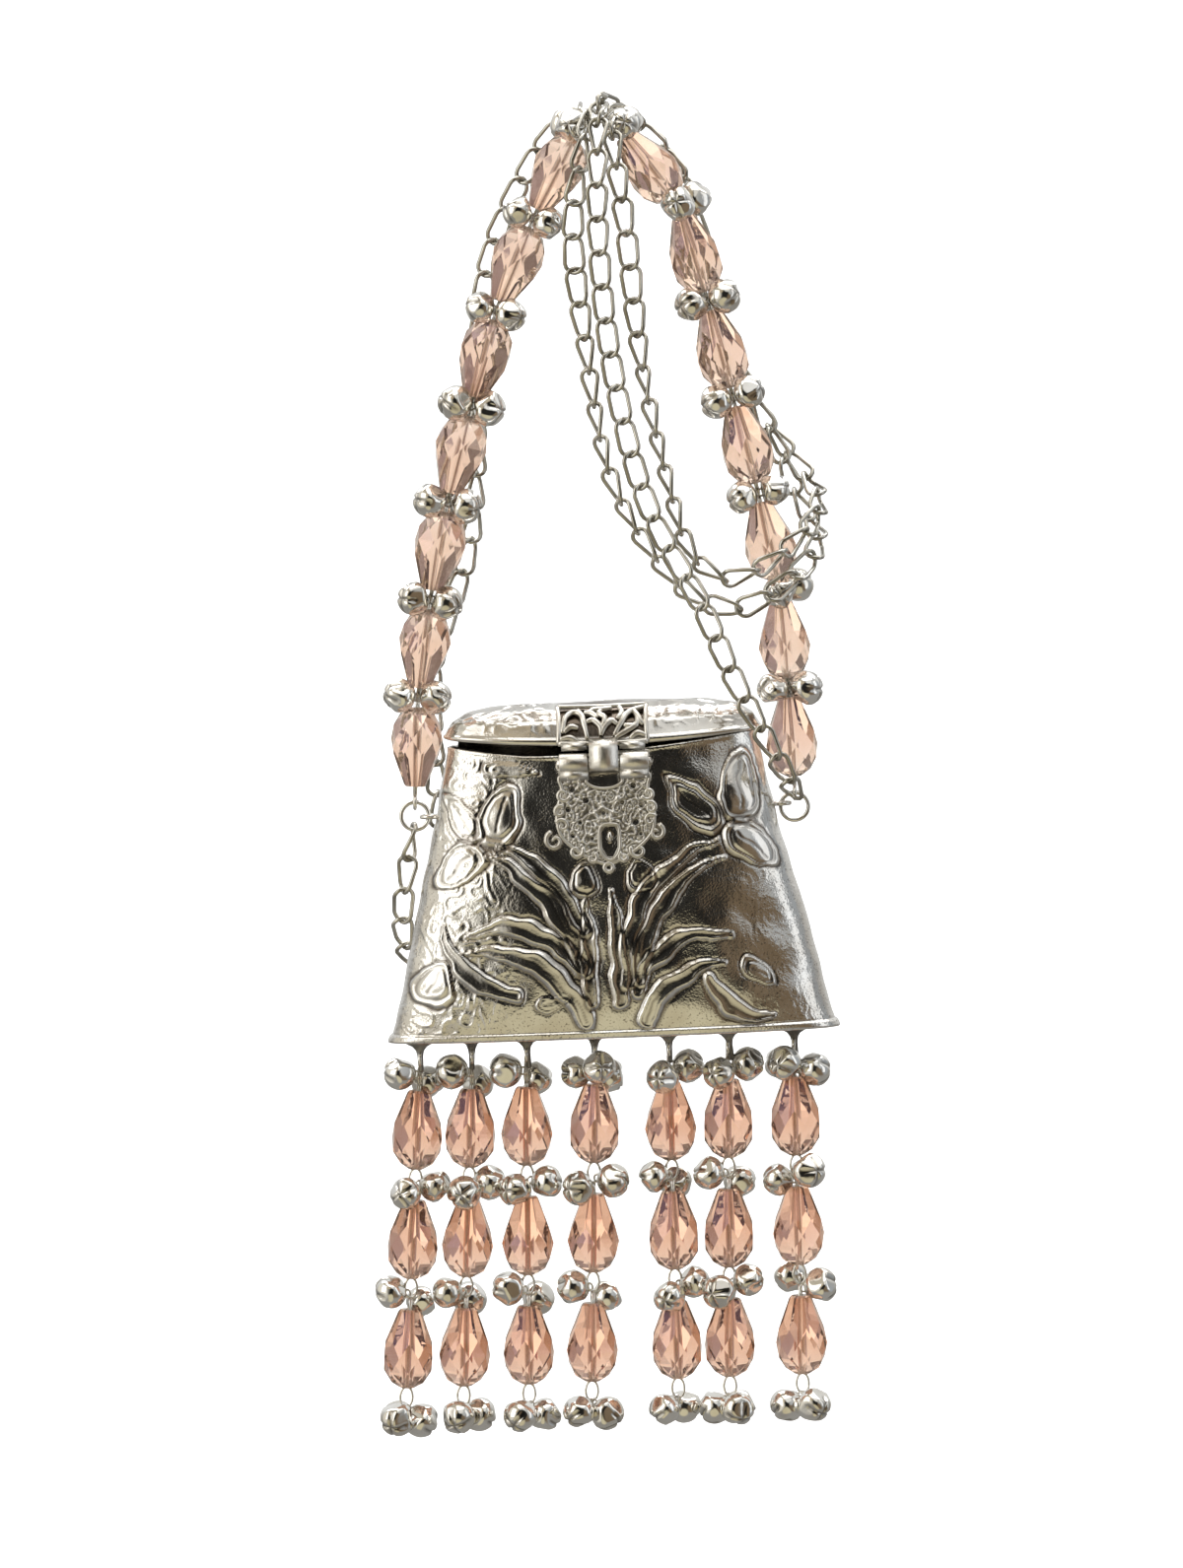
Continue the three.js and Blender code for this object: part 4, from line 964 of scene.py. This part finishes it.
def lid_front(across, up):
    """Points across and up from the rim laid on the lid's front, standing out from it."""
    profile = lid_profile(60)
    steps = distances(profile[:, 1:])
    width, depth, z = resampled(up, steps, profile).T
    _, next_depth, next_z = resampled(up + 0.3, steps, profile).T
    rise, back = next_z - z, depth - next_depth
    out = PLATE_OUT / (np.hypot(rise, back) + 1e-9)
    return np.column_stack([across, oval_front(across, width, depth) - out * rise, z + out * back])


def strip(path, thickness, x0, x1):
    """A strip bent along a path of y and z, from x0 to x1, with its thickness to the inside."""
    runs = np.gradient(path, axis=0)
    runs /= np.linalg.norm(runs, axis=1)[:, None]
    inward = np.column_stack([-runs[:, 1], runs[:, 0]])
    rings = []
    for (y, z), (iy, iz) in zip(path, inward * thickness):
        rings.append([(x0, y, z), (x1, y, z), (x1, y + iy, z + iz), (x0, y + iy, z + iz)])
    return lofted(rings)


def make_clasp_plate():
    """Openwork plate on the lid: a frame filled with leafy strokes, and a strap bent round the clasp pin."""
    shape = Shape()
    up = np.linspace(PLATE_FOOT, PLATE_REACH, 14)
    across = np.linspace(-PLATE_HALF_WIDTH, PLATE_HALF_WIDTH, 24)
    sag = RAIL_SAG * np.cos(across / PLATE_HALF_WIDTH * np.pi / 2)
    for level, wire in PLATE_RAILS:
        shape.add(tube(lid_front(across, level - sag), wire, 10))
    for edge in (-PLATE_HALF_WIDTH, PLATE_HALF_WIDTH):
        bowed = edge - PLATE_SIDE_BOW * edge * np.sin(up / PLATE_REACH * np.pi)
        shape.add(tube(lid_front(bowed, up), PLATE_SIDE_WIRE, 10))
    for stroke in PLATE_STROKES:
        flat = spline(stroke, 7)
        swell = STROKE_THIN + STROKE_SWELL * np.sin(np.linspace(0.15, np.pi - 0.1, len(flat)))
        shape.add(tube(lid_front(*flat.T), swell, 8))
    half = HASP_HINGE["inner"]
    shape.add(strip(spline(STRAP, 5), STRAP_THICKNESS, -half, half))
    for start, end in both_sides(*LEDGE_X):
        shape.add(box_form((start, LEDGE_Y[0], LEDGE_Z[0]), (end, LEDGE_Y[1], LEDGE_Z[1])))
    shape.build("clasp_filigree", clasp_silver, "lid", "silver", "clasp_plate", in_bag=True)


def hasp_outline():
    right = [*HASP_NOTCH, *HASP_OUTLINE]
    left = [(-x, z) for x, z in reversed(right)]
    return spline(right + [(0.0, HASP_TIP)] + left + [(0.0, NOTCH_FLOOR)], 6, closed=True)


def slot_outline(grow=0.0):
    x, half = SLOT["x"], SLOT["half_width"] + grow
    low, high = SLOT["low"] - grow, SLOT["high"] + grow
    corners = ((-0.55, high), (0.7, high), (1, high - 1.2), (1, low + 2.0),
               (0.4, low), (-0.4, low), (-1, low + 2.0), (-1, high - 1.2))
    return np.array([(x + share * half, z) for share, z in corners])


def inside(outline, x, z):
    """Which points lie inside a closed flat outline."""
    result = np.zeros(x.shape, bool)
    for (x0, z0), (x1, z1) in zip(outline, np.roll(outline, -1, axis=0)):
        crosses = (z0 > z) != (z1 > z)
        at = x0 + (z - z0) * (x1 - x0) / (z1 - z0 if z1 != z0 else 1e-9)
        result ^= crosses & (x < at)
    return result


def chased_face(outline, slot):
    """A fine grid inside the hasp's outline, raised into winding ridges; flat points and heights."""
    x, z = np.meshgrid(np.arange(-CHASED_HALF_WIDTH, CHASED_HALF_WIDTH, CHASING_STEP),
                       np.arange(HASP_TIP, CHASED_TOP, CHASING_STEP))
    within = inside(outline, x, z) & ~inside(slot, x, z)
    for hole_x, hole_z, radius in HASP_HOLES:
        within &= np.hypot(x - hole_x, z - hole_z) > radius * 0.92
    ridges = sum(high * curls(x, z, pitch, seed) for high, pitch, seed in CHASING)
    height = (0.12 + ridges) * ramp(nearest(outline, x, z)[0], 0, 0.7) - 0.03
    corners = within[:-1, :-1] & within[1:, :-1] & within[:-1, 1:] & within[1:, 1:]
    columns = x.shape[1]
    faces = [(r * columns + c, r * columns + c + 1, (r + 1) * columns + c + 1, (r + 1) * columns + c)
             for r, c in zip(*np.nonzero(corners))]
    used, renumbered = np.unique(np.array(faces), return_inverse=True)
    points = np.column_stack([x.ravel(), height.ravel(), z.ravel()])[used]
    return points, [tuple(face) for face in renumbered.reshape(-1, 4).tolist()]


def pierced_plate(name, outlines):
    """A flat plate with holes, from closed outlines in X and Z; its back lies in the plane y = 0."""
    curve = bpy.data.curves.new(name, "CURVE")
    curve.dimensions = "2D"
    curve.fill_mode = "BOTH"
    curve.extrude = (HASP_THICKNESS / 2 - HASP_SOFT) * MM
    curve.bevel_depth = HASP_SOFT * MM
    curve.bevel_resolution = 2
    for outline in outlines:
        spline_curve = curve.splines.new("POLY")
        spline_curve.points.add(len(outline) - 1)
        spline_curve.points.foreach_set("co", [v for x, z in outline for v in (x * MM, z * MM, 0, 1)])
        spline_curve.use_cyclic_u = True
    holder = linked(name, curve)
    bpy.context.view_layer.update()
    mesh = bpy.data.meshes.new_from_object(holder.evaluated_get(bpy.context.evaluated_depsgraph_get()))
    points = np.array([v.co for v in mesh.vertices]) / MM
    faces = [tuple(p.vertices) for p in mesh.polygons]
    bpy.data.objects.remove(holder)
    return np.column_stack([points[:, 0], points[:, 2] - HASP_THICKNESS / 2, points[:, 1]]), faces


def make_hasp():
    """Shield of the hasp: a pierced and chased plate, curls at its edge, and two hinge loops."""
    shape = Shape()
    holes = [circle((x, z), radius, (1, 0), (0, 1), 12) for x, z, radius in HASP_HOLES]
    border = hasp_outline()
    plate, faces = pierced_plate("hasp_blank", [border, slot_outline(), *holes])
    shape.add((plate + (0, HASP_BACK, 0), faces))
    face = HASP_BACK - HASP_THICKNESS
    points, faces = chased_face(border, slot_outline(0.2))
    shape.add((points * (1, -1, 1) + (0, face, 0), faces), np.clip(0.9 - 2.7 * points[:, 1], 0, 0.85))

    def raised(flat, out):
        return np.column_stack([flat[:, 0], np.full(len(flat), face - out), flat[:, 1]])

    shape.add(tube(raised(border * (BORDER_SHARE, 1), BORDER_OUT), BORDER_WIRE, 8, True))
    slot_border = spline(slot_outline(0.3), 4, closed=True)
    shape.add(tube(raised(slot_border, SLOT_BORDER_OUT), BORDER_WIRE, 8, True))
    for row in HASP_CURLS:
        flat = spiral(*row)
        shape.add(tube(raised(flat, CURL_OUT), np.linspace(*CURL_WIRE, len(flat)), 8))
    tip = (TIP_RING["x"], face - CURL_OUT, HASP_TIP - TIP_RING["drop"])
    shape.add(tube(circle(tip, TIP_RING["radius"], X_AXIS, Z_AXIS, 18), TIP_RING["wire"], 8, True))
    top = HASP_HINGE["z"] - HASP_HINGE["bore"] - HASP_WEB_GAP
    foot = HASP_OUTLINE[0][1] - HASP_WEB_OVERLAP
    for start, end in both_sides(HASP_HINGE["inner"] + BARREL_GAP, HASP_HINGE["outer"]):
        shape.add(barrel(HASP_HINGE, start, end))
        shape.add(box_form((start, face - HASP_WEB_OUT, foot), (end, HASP_BACK, top)))
    shape.build("hasp_filigree", clasp_silver, "hasp", "silver", "hasp", in_bag=True)


# Strings of bells and crystals

def bell_form(draw):
    """One small bell about Z, its hanger at the origin and its slit mouth outward, a little beaten flat; also
    the painted shade in its slit.
    """
    theta = np.linspace(0.02, np.pi - 0.02, BELL_ROWS)[:, None]
    phi = full_turn(BELL_COLUMNS)[None, :]
    # The slit's painted shade, which also sets how deep its groove is cut
    slit = SLIT_PAINTED_SHADE * ridge(np.sin(2 * phi) * np.sin(theta), 0, SLIT_WIDTH) * ramp(theta, *SLIT_START)
    size = BELL_RADIUS * (1 + BELL_SEAM_PROUD * ridge(theta, *BELL_SEAM) * np.ones_like(phi))
    for _ in range(BELL_FLATS):
        turn, tilt = draw.uniform(0, 2 * np.pi), np.arccos(draw.uniform(*FLAT_LEVELS))
        flat = draw.uniform(*FLAT_DEPTHS)
        near = np.cos(theta) * np.cos(tilt) + np.sin(theta) * np.sin(tilt) * np.cos(phi - turn)
        cut = BELL_RADIUS * flat / np.clip(near, 0.2, 1)
        size = -FLAT_SOFT * np.log(np.exp(-size / FLAT_SOFT) + np.exp(-cut / FLAT_SOFT))
    size = size * (1 - SLIT_DEPTH * slit)
    rings = np.stack([size * np.sin(theta) * np.cos(phi), size * np.sin(theta) * np.sin(phi),
                      BELL_RADIUS - size * np.cos(theta) * BELL_SQUASH], axis=-1)
    return lofted(rings), slit.ravel()


def bell_cluster(shape, point, run, outward, bells, turn, stagger=0.0, droop=0.0):
    """Bells round one point of a string, each on a small hanger."""
    for bell in range(bells):
        azimuth = math.radians(turn + 360 / max(3, bells) * bell)
        reach = unit(math.cos(azimuth) * outward + math.sin(azimuth) * Y_AXIS - droop * run)
        level = stagger * (2 * bell / (bells - 1) - 1)
        foot = point + BELL_FOOT * reach + level * run
        tilt = unit(reach + rng.uniform(-BELL_TILT, BELL_TILT, 3))
        form, slit = bell_form(rng)
        # Each bell brings the painted shade of its slit
        shape.add(toward(form, foot, tilt, rng.uniform(0, 6.28), rng.uniform(*BELL_SIZES)), slit)
        shape.add(tube(circle(foot + 0.2 * reach, HANGER_RADIUS, reach, run, 16), HANGER_WIRE, 6, True))


def twin_wire(shape, start, end):
    """The doubled wire through one crystal or along one short stretch."""
    path = np.linspace(start, end, 6)
    for side in (-1, 1):
        shape.add(tube(path + side * TWIN_OFFSET, STRAND_WIRE, 7))


def loop_wire(centre):
    """The small ring that a string starts from."""
    return tube(circle(centre, LOOP_RADIUS, Y_AXIS, Z_AXIS, 24), LOOP_WIRE, 8, True)


def headed(lean):
    return np.array((-math.sin(math.radians(lean)), 0, math.cos(math.radians(lean))))


def turned_axes(share):
    """The X and Y axes turned about Z by a share of a crystal's step."""
    angle = share * 2 * np.pi / CRYSTAL_SIDES
    c, s = math.cos(angle), math.sin(angle)
    return c * X_AXIS + s * Y_AXIS, c * Y_AXIS - s * X_AXIS


def crystal_form():
    """A cut drop with a bore along Z, its narrow end up."""
    n = CRYSTAL_SIDES
    rings = [circle((0, 0, height), radius, *turned_axes(turn), n)
             for radius, height, turn, _ in CRYSTAL_RINGS]
    faces = []
    for row in range(len(rings) - 1):
        turned = CRYSTAL_RINGS[row + 1][2] - CRYSTAL_RINGS[row][2]
        for side in range(n):
            a, b = row * n + side, row * n + (side + 1) % n
            c, d = a + n, b + n
            if turned == 0:
                faces.append((a, b, d, c))
            elif turned > 0:
                faces += [(a, b, c), (b, d, c)]
            else:
                faces += [(a, d, c), (a, b, d)]
    last = (len(rings) - 1) * n
    for side in range(n):
        following = (side + 1) % n
        faces.append((last + side, last + following, following, side))
    return np.concatenate(rings), faces


def make_crystal(name, node, wide, narrow, shift, material):
    run = unit(narrow - wide)
    centre = (wide + narrow) / 2 + shift * run
    shape = Shape().add(toward(crystal_form(), centre, run, rng.uniform(0, 6.28)))
    piece = shape.build(name, material, "purse", "crystal", node, smooth=False)
    point_layer(piece, "pale", np.repeat([ring[3] for ring in CRYSTAL_RINGS], CRYSTAL_SIDES))
    piece.data.materials.append(bore_glass)
    for face in list(piece.data.polygons)[-CRYSTAL_SIDES:]:
        face.material_index = 1


def handle_half(shape, ring, rows, side):
    """Bells of one half of the handle; returns the points between its crystals, from the ring up."""
    top = np.array((ring[0], 0, ring[1] + RING_RADIUS))
    shape.add(loop_wire(top))
    runs = [headed(side * lean) for lean, *_ in rows]
    points = [top + LOOP_RADIUS * Z_AXIS]
    for i, (_, bells, turn) in enumerate(rows):
        points.append(points[-1] + HANDLE_PITCH * runs[i])
        run = unit(runs[i] + runs[min(i + 1, len(runs) - 1)])
        outward = np.array((side * run[2], 0, -side * run[0]))
        bell_cluster(shape, points[-1], run, outward, bells, turn)
    return points


def make_handle():
    shape = Shape()
    left = handle_half(shape, LEFT_RING, LEFT_HANDLE, -1)
    right = handle_half(shape, RIGHT_RING, RIGHT_HANDLE, 1)
    way = left + [np.array(HANDLE_TOP)] + right[::-1]
    for start, end in zip(way[:-1], way[1:]):
        twin_wire(shape, start, end)
    shape.build("handle_bells", bell_silver, "purse", "silver", "handle_string")
    count = len(left) + len(right) - 2
    drops = [(i + 1, left[i + 1], left[i]) for i in range(len(left) - 1)]
    drops += [(count - i, right[i], right[i + 1]) for i in range(len(right) - 1)]
    for number, wide, narrow in drops:
        make_crystal(f"handle_drop_{number:02d}", f"handle_crystal_{number:02d}", wide, narrow, HANDLE_SHIFT,
                     light_crystal)


def make_strand(number, x, sway, bells, turn):
    """One strand of the fringe: bells and wire, and then its crystals."""
    shape = Shape()
    eye = bag_to_world((x, 0, -LUG_HEIGHT - LOOP_RADIUS + LOOP_WIRE))
    shape.add(loop_wire(eye - LOOP_RADIUS * Z_AXIS))
    up = headed(sway)
    outward = np.array((up[2], 0, -up[0]))
    points = [eye - 2 * LOOP_RADIUS * Z_AXIS]
    wide, tall = FRINGE_LOOP
    for level, count in enumerate(bells):
        last = level == len(bells) - 1
        points.append(points[-1] - up * (FRINGE_PITCH if level else FRINGE_DROP))
        lie = dict(droop=LAST_BELLS_DROOP) if last else dict(stagger=CLUSTER_STAGGER)
        bell_cluster(shape, points[-1], up, outward, count, turn + CLUSTER_TURN * level, **lie)
        if level:
            loop = circle(points[-1] + tall * up, 1, wide * outward, tall * up, 26)
            shape.add(tube(loop, STRAND_WIRE, 7, True))
            twin_wire(shape, points[-2], points[-1] + up * (2 * tall - 0.2))
    twin_wire(shape, points[0], points[1])
    twin_wire(shape, points[-1], points[-1] - up * FRINGE_TAIL)
    shape.build(f"strand_bells_{number}", bell_silver, "purse", "silver", f"fringe_string_{number}")
    for level in range(1, len(bells)):
        make_crystal(f"fringe_drop_{number}_{level}", f"fringe_crystal_{number}_{level}",
                     points[level + 1], points[level], FRINGE_SHIFT, crystal)


def make_ring(name, node, place):
    ring = circle((place[0], 0, place[1]), RING_RADIUS, X_AXIS, Z_AXIS, 48)
    Shape().add(tube(ring, RING_WIRE, 12, True)).build(name, silver, "purse", "silver", node)


# Shoulder chain

def link_path():
    """One long link as (along, across): straight sides and round ends."""
    radius = LINK_WIDTH / 2 - LINK_WIRE
    half = LINK_LENGTH / 2 - LINK_WIRE - radius
    turn = np.linspace(-np.pi / 2, np.pi / 2, 9)
    right = np.column_stack([half + radius * np.cos(turn), radius * np.sin(turn)])
    return np.concatenate([right, -right])


def make_chain():
    """Twisted links strung along the route, each carried on from the last and pulled to face the front."""
    line = spline(CHAIN_ROUTE, 24, power=0.5)
    run = distances(line)
    count = int(round(run[-1] / (LINK_LENGTH - 4 * LINK_WIRE)))
    joints = resampled(np.linspace(0, run[-1], count + 1), run, line)
    length, breadth = link_path().T
    turn = LINK_TWIST * length / LINK_LENGTH
    shape = Shape()
    facing = -Y_AXIS
    for i in range(count):
        along = unit(joints[i + 1] - joints[i])
        carried = facing - along * facing.dot(along)
        front = along * along[1] - Y_AXIS
        facing = unit(carried + FRONT_PULL * front * np.sign(carried.dot(front)))
        sway = math.radians(np.interp(i, *zip(*CHAIN_SWAY))) + rng.uniform(-SWAY_LOOSE, SWAY_LOOSE)
        out = math.cos(sway) * facing + math.sin(sway) * np.cross(along, facing)
        across = np.cross(out, along)
        path = (joints[i] + joints[i + 1]) / 2 + np.outer(length, along)
        path += np.outer(breadth * np.cos(turn), across) + np.outer(breadth * np.sin(turn), out)
        shape.add(tube(path, LINK_WIRE, 8, True))
    shape.build("chain_links", nickel, "purse", "nickel", "shoulder_chain")


# Stage: camera, floor, lights and what reflections see

def aim(thing, target):
    x, y, z = np.asarray(target) - np.asarray(thing.location)
    thing.rotation_euler = (math.pi / 2 + math.atan2(z, math.hypot(x, y)), 0, -math.atan2(x, y))


def make_camera():
    """Camera at the photograph's angle, with its whole frame in view."""
    centre = np.array(((PHOTO_WIDTH / 2 - PHOTO_HOOK[0]) * MM_PER_PIXEL, 0,
                       (PHOTO_HOOK[1] - PHOTO_HEIGHT / 2) * MM_PER_PIXEL)) * MM
    camera = bpy.data.cameras.new("camera")
    camera.sensor_fit = "VERTICAL"
    camera.sensor_height = SENSOR
    camera.lens = SENSOR * CAMERA_DISTANCE / (PHOTO_HEIGHT * MM_PER_PIXEL * MM)
    holder = linked("camera", camera)
    rise = math.radians(CAMERA_RISE)
    holder.location = centre + CAMERA_DISTANCE * np.array((0, -math.cos(rise), math.sin(rise)))
    aim(holder, centre)
    bpy.context.scene.camera = holder


def area_light(name, place, target, size, power, reflected):
    light = bpy.data.lights.new(name, "AREA")
    light.shape = "RECTANGLE"
    light.size, light.size_y = size
    light.energy = power
    holder = linked(name, light)
    holder.location = place
    aim(holder, target)
    holder.visible_glossy = reflected
    holder.visible_transmission = reflected


def make_tent(name, radius, grey, patches, for_glass):
    """A sphere of soft patches that only reflections see, or only light through the glass."""
    tree = Tree(bpy.data.materials.new(name))
    place = tree.add("TexCoord", {}, "Object")
    heading = tree.add("VectorMath", {0: place}, "Vector", operation="NORMALIZE")
    colour = grey
    for direction, (start, full), tone in patches:
        dot = tree.add("VectorMath", {0: heading, 1: unit(direction)}, "Value", operation="DOT_PRODUCT")
        bounds = {"Value": dot, "From Min": start, "From Max": full}
        share = tree.add("MapRange", bounds, "Result", interpolation_type="SMOOTHSTEP")
        colour = tree.mix(share, colour, tone)
    glow = tree.add("Emission", {"Color": colour}, "Emission")
    tree.fill(tree.nodes["Material Output"], {"Surface": glow})
    tree.nodes.remove(tree.nodes["Principled BSDF"])
    angles = np.linspace(0.01, math.pi - 0.01, 24)
    points, faces = lathe([(radius * math.sin(a), radius * math.cos(a)) for a in angles], 48)
    tent = mesh_object(name, points, faces, tree.owner, False)
    tent.location = MIDDLE
    tent.visible_camera = False
    tent.visible_diffuse = False
    tent.visible_shadow = False
    tent.visible_glossy = not for_glass
    tent.visible_transmission = for_glass


def make_floor():
    """Pale floor that sweeps up into a wall behind; reflections and glass don't see it."""
    sweep = [(WALL_Y - SWEEP + SWEEP * math.cos(a), FLOOR_Z + SWEEP + SWEEP * math.sin(a))
             for a in np.linspace(-np.pi / 2, 0, 12)]
    section = [(-FLOOR_HALF, FLOOR_Z), *sweep, (WALL_Y, WALL_TOP)]
    points = [(x, y, z) for y, z in section for x in (-FLOOR_HALF, FLOOR_HALF)]
    faces = [(2 * i, 2 * i + 1, 2 * i + 3, 2 * i + 2) for i in range(len(section) - 1)]
    tree = Tree(bpy.data.materials.new("pale_floor"))
    pale = tree.surface({"Base Color": (0.93, 0.93, 0.93), "Roughness": 0.8})
    floor = mesh_object("floor", points, faces, pale, True)
    floor.visible_glossy = False
    floor.visible_transmission = False


def make_stage():
    make_floor()
    world = Tree(bpy.data.worlds.new("studio"))
    camera_ray = world.add("LightPath", {}, "Is Camera Ray")
    levels = {"Value": camera_ray, "To Min": WORLD_LIGHT, "To Max": WORLD_SEEN}
    strength = world.add("MapRange", levels, "Result")
    world.fill(world.nodes["Background"], {"Color": (1, 1, 1), "Strength": strength})
    bpy.context.scene.world = world.owner
    for row in LIGHTS:
        area_light(*row)
    make_tent("metal_tent", METAL_TENT_RADIUS, METAL_TENT_GREY, METAL_TENT, False)
    make_tent("glass_tent", GLASS_TENT_RADIUS, GLASS_TENT_GREY, GLASS_TENT, True)
    bpy.context.scene.view_settings.view_transform = "Standard"


make_camera()
make_stage()
make_body()
make_lugs()
make_lid()
make_pin("lid_pin", LID_HINGE, "purse", "lid_hinge_pin")
make_pin("clasp_pin", HASP_HINGE, "lid", "hasp_pin")
make_clasp_plate()
make_hasp()
make_ring("left_ring", "side_ring_left", LEFT_RING)
make_ring("right_ring", "side_ring_right", RIGHT_RING)
make_handle()
for strand, row in enumerate(FRINGE):
    make_strand(strand + 1, *row)
make_chain()
